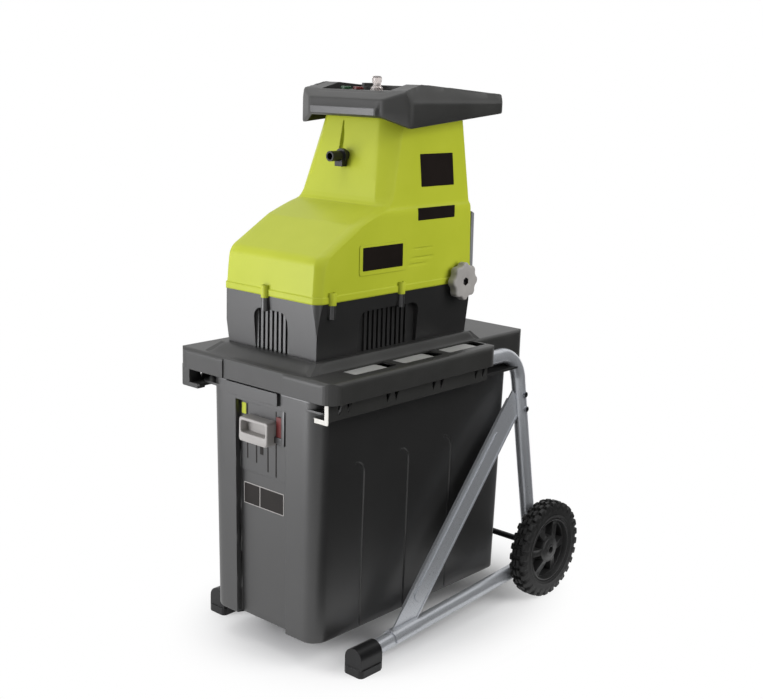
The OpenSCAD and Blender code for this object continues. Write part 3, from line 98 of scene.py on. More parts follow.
# %% [markdown]
# ## Finishes
# Nearly everything that shows is injection-moulded plastic with a fine spark-eroded grain, so one
# recipe makes all of those: a soft cloud of shade from the moulding, a grain for roughness and bump.
# Colours are written as they look on a screen and turned to linear light by one function.


# %% Helpers for finishes
def linear(code):
    """An sRGB hex colour as linear RGBA: c / 12.92 to 0.04045, else ((c + 0.055) / 1.055) ^ 2.4."""
    c = np.array([int(code[i : i + 2], 16) for i in (1, 3, 5)]) / 255
    c = np.where(c <= 0.04045, c / 12.92, ((c + 0.055) / 1.055) ** 2.4)
    return (*c.tolist(), 1.0)


def add(tree, kind, inputs=(), **settings):
    """One shader node: settings are its properties, inputs its socket values or outputs to link."""
    node = tree.nodes.new("ShaderNode" + kind)
    for key, value in settings.items():
        setattr(node, key, value)
    for key, value in dict(inputs).items():
        if isinstance(value, bpy.types.NodeSocket):
            tree.links.new(value, node.inputs[key])
        else:
            node.inputs[key].default_value = value
    return node


def new_finish(name):
    """An empty node material with its Object coordinates and its output."""
    material = bpy.data.materials.new(name)
    material.use_nodes = True
    material.node_tree.nodes.clear()
    tree = material.node_tree
    return material, tree, add(tree, "TexCoord").outputs["Object"], add(tree, "OutputMaterial")


def moulded(name, light, dark, rough, grain_mm, bump, level=0.5, cloud_mm=70, edge_mm=1.2):
    """Moulded plastic: a cloud of two shades, softened edges, and a grain for roughness and bump.
    A pattern's scale is 1000 over its size in mm; roughness swings about its mean with the grain."""
    swing, grain_depth = 0.08, 0.0004
    material, tree, place, out = new_finish(name)
    edge = add(tree, "Bevel", {"Radius": edge_mm / 1000}, samples=4)
    cloud = add(tree, "TexNoise", {"Vector": place, "Scale": 1000 / cloud_mm, "Detail": 3.0})
    grain = add(tree, "TexNoise", {"Vector": place, "Scale": 1000 / grain_mm, "Detail": 2.0})
    fac = grain.outputs["Fac"]
    blend = add(
        tree, "MapRange", {"Value": cloud.outputs["Fac"], "From Min": 0.35, "From Max": 0.65}
    )
    fleck = add(tree, "Math", {0: blend.outputs[0], 1: fac}, operation="MULTIPLY")
    shade = add(
        tree, "Mix", {0: fleck.outputs[0], 6: linear(dark), 7: linear(light)}, data_type="RGBA"
    )
    dull = add(tree, "MapRange", {"Value": fac, "To Min": rough - swing, "To Max": rough + swing})
    relief = add(
        tree, "Bump",
        {"Height": fac, "Strength": bump, "Distance": grain_depth, "Normal": edge.outputs[0]},
    )
    shader = add(
        tree, "BsdfPrincipled",
        {
            "Base Color": shade.outputs[2], "Roughness": dull.outputs[0],
            "Normal": relief.outputs[0], "IOR": 1.5, "Specular IOR Level": level,
        },
    )
    tree.links.new(shader.outputs[0], out.inputs["Surface"])
    return material


def metal(name, light, dark, rough, grain_mm, bump, stretch=(1, 1, 1), metallic=1.0):
    """Worked metal: a grain drawn out by stretch along an axis sets shade, roughness and bump."""
    swing, grain_depth = 0.1, 0.0002
    material, tree, place, out = new_finish(name)
    drawn = add(tree, "Mapping", {"Vector": place, "Scale": stretch})
    grain = add(
        tree, "TexNoise", {"Vector": drawn.outputs[0], "Scale": 1000 / grain_mm, "Detail": 4.0}
    )
    fac = grain.outputs["Fac"]
    shade = add(tree, "Mix", {0: fac, 6: linear(dark), 7: linear(light)}, data_type="RGBA")
    dull = add(tree, "MapRange", {"Value": fac, "To Min": rough - swing, "To Max": rough + swing})
    relief = add(tree, "Bump", {"Height": fac, "Strength": bump, "Distance": grain_depth})
    shader = add(
        tree, "BsdfPrincipled",
        {
            "Base Color": shade.outputs[2], "Roughness": dull.outputs[0],
            "Normal": relief.outputs[0], "Metallic": metallic,
        },
    )
    tree.links.new(shader.outputs[0], out.inputs["Surface"])
    return material


# %% [markdown]
# ### The plastics
# The hood is smooth semi-gloss ABS, the deck, tray and box grained polypropylene, the knob and latch
# glass-filled nylon. A mould's grain is about 0.3 mm wide; it is drawn at 1 mm and more so that it
# shows at the picture's scale.

# %% Plastics
finishes = {
    # ABS, polished mould: full colour, quiet highlights
    "lime_plastic": moulded(
        "abs_lime_semi_gloss", "#b1b938", "#a8b130",
        rough=0.4, grain_mm=1.2, bump=0.05, level=0.25, cloud_mm=90, edge_mm=2.0,
    ),
    # polypropylene, coarse grain: black that takes a broad grey sheen where it faces the light
    "black_plastic": moulded(
        "polypropylene_black_grain", "#363635", "#2c2c2b",
        rough=0.44, grain_mm=1.6, bump=0.2, level=0.45,
    ),
    # polypropylene, fine grain: dark grey with a broader and brighter sheen
    "dark_grey_plastic": moulded(
        "polypropylene_grey_grain", "#2b2b2b", "#222222",
        rough=0.38, grain_mm=1.4, bump=0.1, level=0.85, cloud_mm=160,
    ),
    # glass-filled nylon: pale warm grey, dry
    "light_grey_plastic": moulded(
        "nylon_pale_grey", "#a5a29f", "#979491", rough=0.48, grain_mm=1.1, bump=0.12, level=0.4
    ),
    # polypropylene wheel: black, a little shiny where it was handled
    "wheel_plastic": moulded(
        "polypropylene_wheel_black", "#2e2e2e", "#232323",
        rough=0.42, grain_mm=1.5, bump=0.2, level=0.7,
    ),
    # rubber: matt black with dust in the grain
    "tyre_rubber": moulded(
        "rubber_tyre_matt", "#262626", "#191919", rough=0.6, grain_mm=1.8, bump=0.35
    ),
    # polyamide, fine mould: off-white, dry
    "white_plastic": moulded(
        "polyamide_white", "#dedcd5", "#cfcdc6", rough=0.45, grain_mm=1.2, bump=0.08
    ),
    # ABS button, polished mould: deep green with a small clear highlight
    "green_plastic": moulded(
        "abs_green_gloss", "#1d4f2d", "#174325", rough=0.34, grain_mm=1.0, bump=0.04
    ),
    # ABS, smooth mould: the dark red of a button and of the latch's stop
    "red_plastic": moulded(
        "abs_dark_red", "#6b201e", "#571816", rough=0.38, grain_mm=1.0, bump=0.05
    ),
}
print(len(finishes), "plastics")

# %% [markdown]
# ### The metals
# The frame is steel tube in silver-grey metallic powder paint: flakes under a satin skin. The parts
# inside are cast, ground or stacked, and each takes the marks of its making. Grain and grinding lines
# are finer than a millimetre on the real parts and are drawn coarser, so that they show.

# %% Metals
finishes |= {
    # powder paint with aluminium flake on steel: grey with a satin sheen
    "silver_paint": metal(
        "steel_silver_powder_paint", "#c3c6cb", "#b3b6bb",
        rough=0.3, grain_mm=1.2, bump=0.025, metallic=0.6,
    ),
    # zinc plate: cool and bright, fine cloud
    "zinc_steel": metal(
        "steel_zinc_plated", "#c4c6ca", "#a9acb1", rough=0.36, grain_mm=1.5, bump=0.1
    ),
    # sand-cast aluminium: pale, pitted
    "cast_aluminium": metal(
        "aluminium_as_cast", "#b9babb", "#9a9b9d", rough=0.55, grain_mm=1.8, bump=0.4
    ),
    # ground steel: fine lines around the axis
    "bearing_steel": metal(
        "steel_ground", "#cfd0d3", "#b2b4b8",
        rough=0.28, grain_mm=1.0, bump=0.1, stretch=(6, 1, 1),
    ),
    # electrical sheet: stacked edges
    "laminated_steel": metal(
        "steel_laminated", "#8d8b88", "#6a6865",
        rough=0.5, grain_mm=1.0, bump=0.5, stretch=(8, 0.3, 0.3),
    ),
    # hardened steel: dark, ground
    "hardened_steel": metal(
        "steel_hardened_ground", "#8b8e92", "#6c6f73",
        rough=0.34, grain_mm=1.0, bump=0.15, stretch=(5, 1, 1),
    ),
    # milled aluminium: pale warm grey with straight cutter lines
    "aluminium_plate": metal(
        "aluminium_milled", "#c3bfba", "#a8a5a1",
        rough=0.38, grain_mm=1.0, bump=0.15, stretch=(1, 6, 1),
    ),
    # turned brass: yellow, with fine lines round the axis
    "bush_brass": metal(
        "brass_turned", "#caa24e", "#a9853c",
        rough=0.3, grain_mm=1.0, bump=0.12, stretch=(6, 1, 1),
    ),
}
print(len(finishes), "finishes")

# %% [markdown]
# ### The clear boot
# A soft transparent cover keeps the wet out of the reset button. Clear vinyl is smooth outside, a
# little cloudy, and lets the button's colour through, so it is a transmissive shader with a cloud.

# %% Clear vinyl
material, tree, place, out = new_finish("vinyl_clear_boot")
haze_mm = 6
haze = add(tree, "TexNoise", {"Vector": place, "Scale": 1000 / haze_mm, "Detail": 2.0})
fac = haze.outputs["Fac"]
tint = add(tree, "Mix", {0: fac, 6: linear("#cdbfbb"), 7: linear("#efe9e6")}, data_type="RGBA")
dull = add(tree, "MapRange", {"Value": fac, "To Min": 0.15, "To Max": 0.4})
shader = add(
    tree, "BsdfPrincipled",
    {
        "Base Color": tint.outputs[2], "Roughness": dull.outputs[0], "IOR": 1.45,
        "Transmission Weight": 0.85,
    },
)
tree.links.new(shader.outputs[0], out.inputs["Surface"])
finishes["clear_boot"] = material
print("made", material.name)

# %% [markdown]
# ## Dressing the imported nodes
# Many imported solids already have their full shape: tubes, axle, buttons and all that is inside. They
# only need a finish, so each takes the one that its material slot names. Five look different from
# the rest of their slot, because they are made of another stock, and take a finish of their own.

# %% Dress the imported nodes
# black oxide on drawn steel: dark, with faint lines round the axle
finishes["axle_oxide"] = metal(
    "steel_black_oxide", "#3a3a3b", "#2a2a2b",
    rough=0.42, grain_mm=1.2, bump=0.1, stretch=(6, 1, 1),
)
# soft vinyl, smooth mould: the deepest black, with a low sheen
# this black also paints the shade in the screw holes and behind the side vents
finishes["foot_vinyl"] = moulded(
    "vinyl_black_gloss", "#1c1c1d", "#151516", rough=0.36, grain_mm=1.6, bump=0.08, level=0.3
)
# polypropylene, fine grain: mid grey, dry
finishes["cover_grey"] = moulded(
    "polypropylene_cover_grey", "#808185", "#737478", rough=0.46, grain_mm=1.4, bump=0.15
)
other = {
    "axle": "axle_oxide", "foot_left": "foot_vinyl", "foot_right": "foot_vinyl",
    "cable_inlet": "foot_vinyl", "rear_cover": "cover_grey",
}
for name, node in nodes.items():
    node.data.materials[0] = finishes[other.get(name, slot_of[name])]
print("dressed", len(nodes), "nodes")

# %% [markdown]
# ## Finishing a new piece
# Every new piece needs the same things, whatever its shape: a finish, the body that it moves with,
# and the imported nodes that it stands for, if any.


# %% Helper for new pieces
def finish_piece(obj, body, finish, slot, *replaced):
    """Gives a piece its finish, its body and the nodes that it stands for; slot is not used."""
    obj.data.materials.clear()
    obj.data.materials.append(finishes[finish])
    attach(obj, body)
    if replaced:
        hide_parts(*replaced)
    print(obj.name, len(obj.data.vertices), "points")


# %% [markdown]
# ## The hood's skin
# The lime hood is one moulding: a nose, a bonnet that climbs in two slopes, and a tower. It could be
# modelled by hand with subdivision, but its level sections are all rounded rectangles, so the skin is
# a stack of rings: each height has a half width, a front, a rear and the reach of its corners.


# %% Lines of the hood
def polyline(value, table):
    """Straight lines through the pairs of a table, read at value."""
    table = np.array(table, float)
    return np.interp(value, table[:, 0], table[:, 1])


def resample(line, count):
    """Both columns of a line, at its own corners and at count even steps of its running length.
    The running length is the sum of the distances between neighbours."""
    arc = np.concatenate([[0], np.cumsum(np.hypot(*np.diff(line, axis=0).T))])
    walk = np.unique(np.concatenate([np.linspace(0, arc[-1], count), arc]))
    return [np.interp(walk, arc, column) for column in line.T]


nose_y, nose_z, nose_r = 72, 704, 26
nose = np.radians(np.linspace(180, 119.8, 12))
front_line = np.concatenate([
    [[40.5, 648], [40.5, 658.4], [42.2, 660], [44, 685], [46, 704]],
    np.stack([nose_y + nose_r * np.cos(nose), nose_z + nose_r * np.sin(nose)], 1)[1:],
    [[131.5, 769.2], [136, 771.6], [196, 795], [202.5, 798.2], [205.5, 803], [208, 811]],
    [[243, 948]],
])
ring_front, ring_z = resample(front_line, 150)
ring_half = polyline(ring_z, [
    (648, 117.5), (658.4, 117.5), (660, 115.8), (782, 114), (787, 113.4), (790.5, 112.2),
    (793.5, 110), (796, 108.7), (799, 108), (948, 92),
])
ring_rear = polyline(
    ring_z, [(648, 451.5), (658.4, 451.5), (660, 450), (798, 446.5), (948, 439)]
)
print(len(ring_z), "rings from", ring_z[0], "to", ring_z[-1], "mm")

# %% [markdown]
# ### Rings into a grid
# The moulding's front corners are flatter than its rear ones. A round corner is a quarter circle; the
# same formula with a power flattens it towards a chamfer, so one function serves every stacked shape
# of this lesson. More columns lie where a mark will be pressed in.


# %% Stack the rings
def ring_stack(z, half, front, rear, reach_x, reach_y, back, across, along, flat=1.0):
    """Rounded rectangles at the heights z, as a grid of rings by points.
    A front corner is a quarter of a superellipse: sine and cosine from 0 to 90 degrees, each to the
    power flat and times the reach. A power of 1 is round, 2 a straight chamfer. Rear corners are
    round with the radius back. across and along share out the points of the front and the sides."""
    turn = np.radians(np.linspace(0, 90, 9))
    sine, cosine = np.sin(turn) ** flat, np.clip(np.cos(turn), 0, 1) ** flat
    z, half, front, rear, reach_x, reach_y = (
        np.broadcast_to(v, z.shape)[:, None] for v in (z, half, front, rear, reach_x, reach_y)
    )
    front_x = across[None] * (half - reach_x)
    side_y = front + reach_y + (rear - back - front - reach_y) * along[None]
    rear_x = (half - back) * np.linspace(1, -1, 14)[None, 1:-1]
    bits = [
        (front_x, front + 0 * front_x),
        (half - reach_x + reach_x * sine, front + reach_y - reach_y * cosine),
        (half + 0 * side_y, side_y),
        (half - back + back * np.cos(turn), rear - back + back * np.sin(turn)),
        (rear_x, rear + 0 * rear_x),
        (-half + back - back * np.sin(turn), rear - back + back * np.cos(turn)),
        (-half + 0 * side_y, side_y[:, ::-1]),
        (-half + reach_x - reach_x * cosine, front + reach_y - reach_y * sine),
    ]
    x, y = (np.concatenate([bit[k] for bit in bits], 1) for k in range(2))
    return np.stack([x, y, z + 0 * x], -1)


across = np.unique(np.concatenate([np.linspace(-1, 1, 15)[1:-1], np.linspace(-0.36, 0.06, 24)]))
even = np.linspace(0, 1, 60)[1:-1]
hood_grid = ring_stack(
    ring_z, ring_half, ring_front, ring_rear,
    polyline(ring_z, [
        (648, 12), (704, 12), (730, 14), (770, 14), (798, 16), (812, 21), (948, 33),
    ]),
    polyline(ring_z, [
        (648, 14), (704, 14), (730, 18), (770, 18), (798, 20), (812, 25), (948, 30),
    ]),
    8.0, across, even, flat=1.6,
)
print("hood grid", hood_grid.shape)

# %% [markdown]
# ### Marks in the skin
# Above the cable inlet a wedge is sunk into the tower, and the right flank carries three short
# engraved lines. They are pressed into the grid itself: a depth times a soft mask of the place.

# %% Sink the wedge and the lines
lime = ("lime_plastic", "lime_plastic")
wedge_top, wedge_foot, wedge_deep, line_deep = 938, 884, 6, 1.4
x, y, z = np.moveaxis(hood_grid, -1, 0)
below = wedge_top - z
wide = np.clip(below / 50, 0, 1) * 5.5
middle = -21.5 + below * 0.16
wedge = 1 - step(np.abs(x - middle), wide - 0.8, wide + 0.8)
wedge = wedge * step(z, wedge_foot, wedge_foot + 2) * step(below, 0, 3)
front_side = y < ring_front[:, None] + 2
hood_grid[..., 1] += np.where(front_side, wedge_deep * wedge, 0)
for line_z, start, end in ((720, 281, 334), (704.5, 277, 335), (692, 268, 320)):
    groove = 1 - step(np.abs(z - line_z), 0.6, 2.2)
    groove = groove * step(y, start, start + 4) * step(end - y, 0, 4)
    hood_grid[..., 0] -= np.where(x > 100, line_deep * groove, 0)
hood_skin = surface("hood_skin", hood_grid, wrap=True, crease=24)
wall = hood_skin.modifiers.new("wall", "SOLIDIFY")
wall.thickness, wall.offset = 0.0032, -1
finish_piece(hood_skin, "machine", *lime, "hood")

# %% [markdown]
# ### Screw bosses
# Five screws hold the hood to the lower housing. Each sits in a round boss on the rim, a turned profile
# with a counterbore, so it is made as a lathe would: a line of radius and height spun round. A black
# cup down each counterbore is painted shade in the screw hole.


# %% Turn the bosses
def turned(name, x, y, profile, count=40):
    """A profile of (radius, height) pairs spun round an upright axis at x and y.
    Each point goes round by the cosine and sine of count even angles times its radius."""
    profile = np.array(profile, float)
    angle = np.linspace(0, 2 * np.pi, count, endpoint=False)
    ring = np.stack([np.cos(angle), np.sin(angle), 0 * angle], -1)
    grid = profile[:, :1, None] * ring[None] + profile[:, 1:, None] * np.array([0, 0, 1.0])
    return surface(name, grid + np.array([x, y, 0.0]), wrap=True, ends=True, crease=35)


boss_parts = (
    ("hood_boss", *lime,
     [(7, 645), (7, 665), (6.3, 666.2), (4.8, 666.2), (4.4, 665.6), (4.4, 655)]),
    # a black cup down the counterbore: painted shade in the screw hole
    ("boss_hole_shade", "foot_vinyl", "black_plastic",
     [(0.3, 661), (4.3, 661), (4.3, 664.8), (3.9, 664.8), (3.9, 663), (0.3, 663)]),
    ("housing_boss", "dark_grey_plastic", "black_plastic",
     [(6.4, 622), (6.4, 648.2), (5.5, 648.6)]),
)
for k, (x, y) in enumerate([(-6, 40), (118, 75), (118, 248), (-118, 75), (-118, 248)]):
    for name, finish, slot, profile in boss_parts:
        finish_piece(turned(f"{name}_{k}", x, y, profile), "machine", finish, slot)

# %% [markdown]
# ## Plates
# Flat plates sit on the hood's flank and on the box: a satin black foil with a turned-down edge, on a
# raised pad where the moulding has one. A box with a bevel would do, but these walls lean, so a plate
# is worked out from its four corners and the wall's direction.


# %% Helpers for plates
def plate(name, corners, radius, height, slope, normal):
    """A flat plate with rounded corners on four corner points, raised by height with a sloping edge.
    The outline is a rounded rectangle in the plate's own u and v; rows shrink it and lift it."""
    p = np.array(corners, float)
    u, v = p[1] - p[0], p[3] - p[0]
    width, tall = np.linalg.norm(u), np.linalg.norm(v)
    u, v, middle = u / width, v / tall, p.mean(0)
    n = np.array(normal, float) / np.linalg.norm(normal)
    turn = np.radians(np.arange(0, 360, 9))
    rows = []
    for inset, lift in ((0, -0.6), (0, height - 0.25), (0.2, height), (slope, height)):
        r = max(radius - inset, 0.2)
        cu = np.sign(np.cos(turn + 1e-6)) * (width / 2 - inset - r) + r * np.cos(turn)
        cv = np.sign(np.sin(turn + 1e-6)) * (tall / 2 - inset - r) + r * np.sin(turn)
        rows.append(middle + cu[:, None] * u + cv[:, None] * v + lift * n)
    return surface(name, np.array(rows), wrap=True, ends=True, crease=35)


def on_flank(y0, y1, z0, z1, x0, x1):
    """Four corners on a flank: from y0 to y1, at x0 along the foot z0 and at x1 along the head z1."""
    return [(x0, y0, z0), (x0, y1, z0), (x1, y1, z1), (x1, y0, z1)]


def on_front(x0, x1, z0, z1, y0, y1):
    """Four corners on a front: from x0 to x1, at y0 along the foot z0 and at y1 along the head z1."""
    return [(x0, y0, z0), (x1, y0, z0), (x1, y1, z1), (x0, y1, z1)]


# %% [markdown]
# ### Plates on the hood
# The hood's flank leans in by 2 in 134 and the tower by 16 in 150, so each plate stands square to its
# own wall. The lowest lies on a raised pad of the same moulding as the hood.

# %% Pad and plates on the flank
# polyester foil, satin: an even near-black with hardly any grain
# this black also paints the shade in the latch guide's slots
finishes["plate_foil"] = moulded(
    "polyester_foil_black_satin", "#1f1a18", "#181412",
    rough=0.42, grain_mm=1.0, bump=0.03, level=0.2, cloud_mm=40,
)
foil = ("plate_foil", "black_plastic")
flank = (1, 0, 2 / 134)
tower_flank = (1, 0, 16 / 150)
pad = plate("badge_pad", on_flank(141, 261, 685.5, 738, 115.4, 114.6), 5, 1.4, 2.0, flank)
finish_piece(pad, "machine", *lime)
for name, corners, lift, normal in (
    ("badge_plate", on_flank(149, 251, 693.5, 733.3, 115.3, 114.7), 2.0, flank),
    ("flank_plate", on_flank(292, 394, 769.3, 791, 114.2, 113.9), 0.6, flank),
    ("tower_plate", on_flank(309, 400, 826.5, 883.5, 105, 98.9), 0.6, tower_flank),
):
    made = plate(name, corners, 1.5, lift, 2.0, normal)
    finish_piece(made, "machine", *foil)

# %% [markdown]
# ## Collection box
# The box is one deep moulding with drawn walls: its front has a sunk middle panel, its sides three
# hooked grooves that stiffen them. A solid model would need many cuts for that, so the walls are one
# stack of rings that runs up the outside, over the flange and rim, and down again inside.

# %% Rings of the box
box_foot, box_tall, wall_mm, corner_r = 53, 437, 3.6, 30
flange_low, flange_high, flange_half = 472, 476, 168
outside = np.concatenate([
    [53, 53, 53.5, 54.8, 57], np.linspace(64, 330, 34), np.linspace(334, 370, 25),
    np.linspace(378, 452, 8), [455, 457, 458, 459, 460, 462, 466, 471.8],
])
over_rim = np.array([flange_low, flange_high, 476.1, 486, 489.2, 490, 490, 489.2])
inside = np.array([480, 461, 459, 457, 440, 250, 62, 58, 57, 57])
box_z = np.concatenate([outside, over_rim, inside])
inset = np.concatenate([
    [70, 4, 1.6, 0.5, 0], np.zeros(len(outside) - 5), [0, 0, 0, 0, 0, 0.8, 2.4, 3.2],
    wall_mm + 0 * inside,
])
inset[-2:] = (8, 70)
up = (box_z - box_foot) / box_tall
flare = np.where((box_z == flange_low) | (box_z == flange_high), flange_half, 0)
box_half = np.maximum(131.5 + 4.5 * up - inset, flare)
box_front = 33 - 6 * up + inset
box_rear = 547 + 6 * up - inset
box_reach = np.clip(corner_r - inset * 0.8, 4, corner_r)
print(len(box_z), "rings")

# %% [markdown]
# ### Panel and grooves
# On the real mould the panel and the grooves are steel that stands into the wall. Here they are
# pressed into the grid by a depth times a soft mask. A groove runs straight up and turns over in a
# quarter circle, so its mask is the distance to that line, and columns crowd where the grooves are.

# %% Press the panel and the grooves
grey = ("dark_grey_plastic", "dark_grey_plastic")
groove_y, groove_deep, panel_deep = (146, 264, 386), 2.4, 12
hook_z, hook_r = 345, 20
edge_x = np.concatenate([np.linspace(-68, -62, 13), np.linspace(56, 62, 13)]) / 104
across = np.unique(np.concatenate([np.linspace(-1, 1, 19)[1:-1], edge_x]))
along = np.unique(np.concatenate([
    np.linspace(0, 1, 34)[1:-1],
    *[(np.linspace(y0 - 34, y0 + 5, 46) - 60) / 476 for y0 in groove_y],
]))
box_grid = ring_stack(
    box_z, box_half, box_front, box_rear, box_reach, box_reach, 14.0, across, along
)
x, y, z = np.moveaxis(box_grid.copy(), -1, 0)
front_wall = (y < box_front[:, None] + 3) & (inset < 50)[:, None]
panel = step(x, -66, -64.6) * (1 - step(x, 58.6, 60)) * (1 - step(z, 456.5, 459))
box_grid[..., 1] += np.where(front_wall, panel_deep * panel, 0)
outer_ring = np.arange(len(box_z)) < len(outside)
side_wall = (np.abs(x) > (box_half - 1)[:, None]) & outer_ring[:, None]
for y0 in groove_y:
    bow = np.abs(np.hypot(y - y0 + hook_r, z - hook_z) - hook_r)
    end = np.hypot(y - y0 + hook_r, z - (hook_z + hook_r))
    off = np.where(z < hook_z, np.abs(y - y0), np.where(y > y0 - hook_r, bow, end))
    groove = (1 - step(off, 0.6, 2.6)) * step(z, 56, 62)
    box_grid[..., 0] -= np.where(side_wall, np.sign(x) * groove_deep * groove, 0)
box_skin = surface("box_skin", box_grid, wrap=True, ends=True, crease=50)
finish_piece(box_skin, "box", *grey, "collection_box")

# %% [markdown]
# ### Fittings on the box
# A tongue over the front panel, a pale-edged plate below the latch, the slotted guide of the latch and
# a lime mark beside it are thin pieces on the front wall. The guide's slots are dark foil strips:
# painted shade where the slots lie open. Each is a rounded plate that stands on the wall it belongs
# to, and the wall leans forward a little as it rises.


# %% Tongue, plate, guide and mark
def guide_face(z):
    """The y of the guide's front face at a height: it comes forward by 1 in 78.75."""
    return 43.878 - z / 78.75


ahead = (0, -1, 0)
lean = (0, -1, -0.0137)
pale = ("light_grey_plastic", "light_grey_plastic")
tongue = plate("box_tongue", on_front(-86, 45, 467, 489.5, 27.6, 27.2), 1.2, 6, 1.0, ahead)
finish_piece(tongue, "box", *grey)
edging = plate("box_plate_edge", on_front(-58, 44, 266, 306, 42.1, 41.6), 1.5, 0.5, 1.0, lean)
finish_piece(edging, "box", *pale)
for name, x0, x1 in (("box_plate_left", -56.4, -17.5), ("box_plate_right", -15.5, 42.4)):
    field = plate(name, on_front(x0, x1, 267.6, 304.4, 42.1, 41.6), 1.2, 0.9, 1.0, lean)
    finish_piece(field, "box", *foil)
guide = plate("guide_pad", on_front(-62, 57, 329, 455, 41, 39.4), 3, 1.6, 1.0, lean)
finish_piece(guide, "box", *grey, "latch_guide")
# the slots: dark foil strips on the pad, painted shade where the slots lie open
for k, (x0, x1, low, high) in enumerate([
    (-47.5, -45, 352, 452), (-24.5, -22, 348, 392), (-14, -6, 366, 392), (4.5, 7, 338, 392),
    (25, 27.5, 333, 452),
]):
    corners = on_front(x0, x1, low, high, guide_face(low), guide_face(high))
    slot_shade = plate(f"guide_slot_shade_{k}", corners, 1, 0.9, 0.5, lean)
    finish_piece(slot_shade, "box", *foil)
mark = plate("latch_mark", on_front(-60, -49, 432, 452, 38.2, 38), 1, 1.0, 0.5, lean)
finish_piece(mark, "box", *lime)

# %% [markdown]
# ### Latch
# The latch is a pale grip with a finger opening and a lip that bows outwards at its lower edge. Each
# row of its grid is one closed loop: from the back, round the front edge, and into the opening.


# %% Grip
def loop(half_u, half_v, radius, count=96):
    """A rounded rectangle as a closed loop of (u, v): corners set in by the radius, plus the radius."""
    turn = np.linspace(0, 2 * np.pi, count, endpoint=False) + 1e-4
    return np.stack([
        np.sign(np.cos(turn)) * (half_u - radius) + radius * np.cos(turn),
        np.sign(np.sin(turn)) * (half_v - radius) + radius * np.sin(turn),
    ], -1)


grip_x, grip_z, opening_z, lip_out, lip_down = -8, 413, 417.5, 5, 3.5
rows = []
for half_u, half_v, radius, mid_z, depth in (
    (36, 21, 5, grip_z, 38.4), (36, 21, 5, grip_z, 18), (35.4, 20.4, 5, grip_z, 16.4),
    (34, 19, 4.5, grip_z, 15.6), (31.5, 11.6, 5, opening_z, 15.6), (31, 11, 5, opening_z, 16.4),
    (30.6, 10.6, 5, opening_z, 31), (15, 4, 3, opening_z, 31.5),
):
    u, v = loop(half_u, half_v, radius).T
    bow = 1 - (u / 37) ** 2
    low = np.clip(-v / 21, 0, 1) * (half_v > 15)
    forward = depth - lip_out * bow * low * (depth < 20)
    rows.append(np.stack([u + grip_x, forward, mid_z + v - lip_down * bow * low], -1))
grip = surface("latch_grip", np.array(rows), wrap=True, ends=True, crease=35)
finish_piece(grip, "latch", *pale, "latch_handle")

# %% [markdown]
# ### Pin of the latch
# A flat pin stands up behind the grip and locks the box to the deck, and a short arm joins it to the
# grip. Both are a small rounded section carried along a straight line, the pin with a tapered tip.

# %% Pin and arm
pin_x, pin_y, arm_z = 49, 34.25, 403
u, v = loop(4, 2.75, 1, 40).T
pin = np.array([
    np.stack([pin_x + u * taper, pin_y + v * taper, height + 0 * u], -1)
    for height, taper in ((396, 1), (496, 1), (497.5, 0.7))
])
arm = np.array([
    np.stack([x + 0 * u, pin_y + v * 0.9, arm_z + u * 1.4], -1) for x in (27.0, 40.0, 50.0)
])
for name, grid in (("latch_pin", pin), ("latch_arm", arm)):
    finish_piece(surface(name, grid, wrap=True, ends=True), "latch", *grey)

# %% [markdown]
# ## Deck crown
# The deck swells up to the hood in one smooth crown, part of the same moulding. It could be a lofted
# solid, but its level sections are rounded rectangles again, so it is a stack of shrinking rings.

# %% Crown
black = ("black_plastic", "black_plastic")
rise = np.linspace(0, 1, 16)
swell = 536.1 + 15.4 * (0.35 * rise + 0.65 * step(rise, 0, 1))
crown_z = np.concatenate([[535.5], swell, [551.5, 551.5]])
back_off = np.concatenate([[0], rise, [1, 1]])
shrink = np.concatenate([0 * back_off[:-1], [40]])
crown = ring_stack(
    crown_z, 132.6 - 14.4 * back_off - shrink, 9.5 + 31 * back_off + shrink,
    466.4 - 14.2 * back_off - shrink, 22.0, 22.0, 16.0, np.linspace(-1, 1, 25)[1:-1],
    np.linspace(0, 1, 30)[1:-1],
)
finish_piece(surface("deck_crown", crown, wrap=True, ends=True, crease=50), "machine", *black)

# %% [markdown]
# ## Inserts and rail ends
# Pale inserts fill the windows in the deck's sides, each with a short black end piece: painted shade
# at the window's rear end. The rails under the deck end at the front: a thin angle on the right,
# painted white as a painted highlight where its end catches the light, and a deeper one on the left,
# painted black as the shade where it is seen from inside. Inserts are rounded loops with a chamfered
# top, and a rail end is one outline carried back.

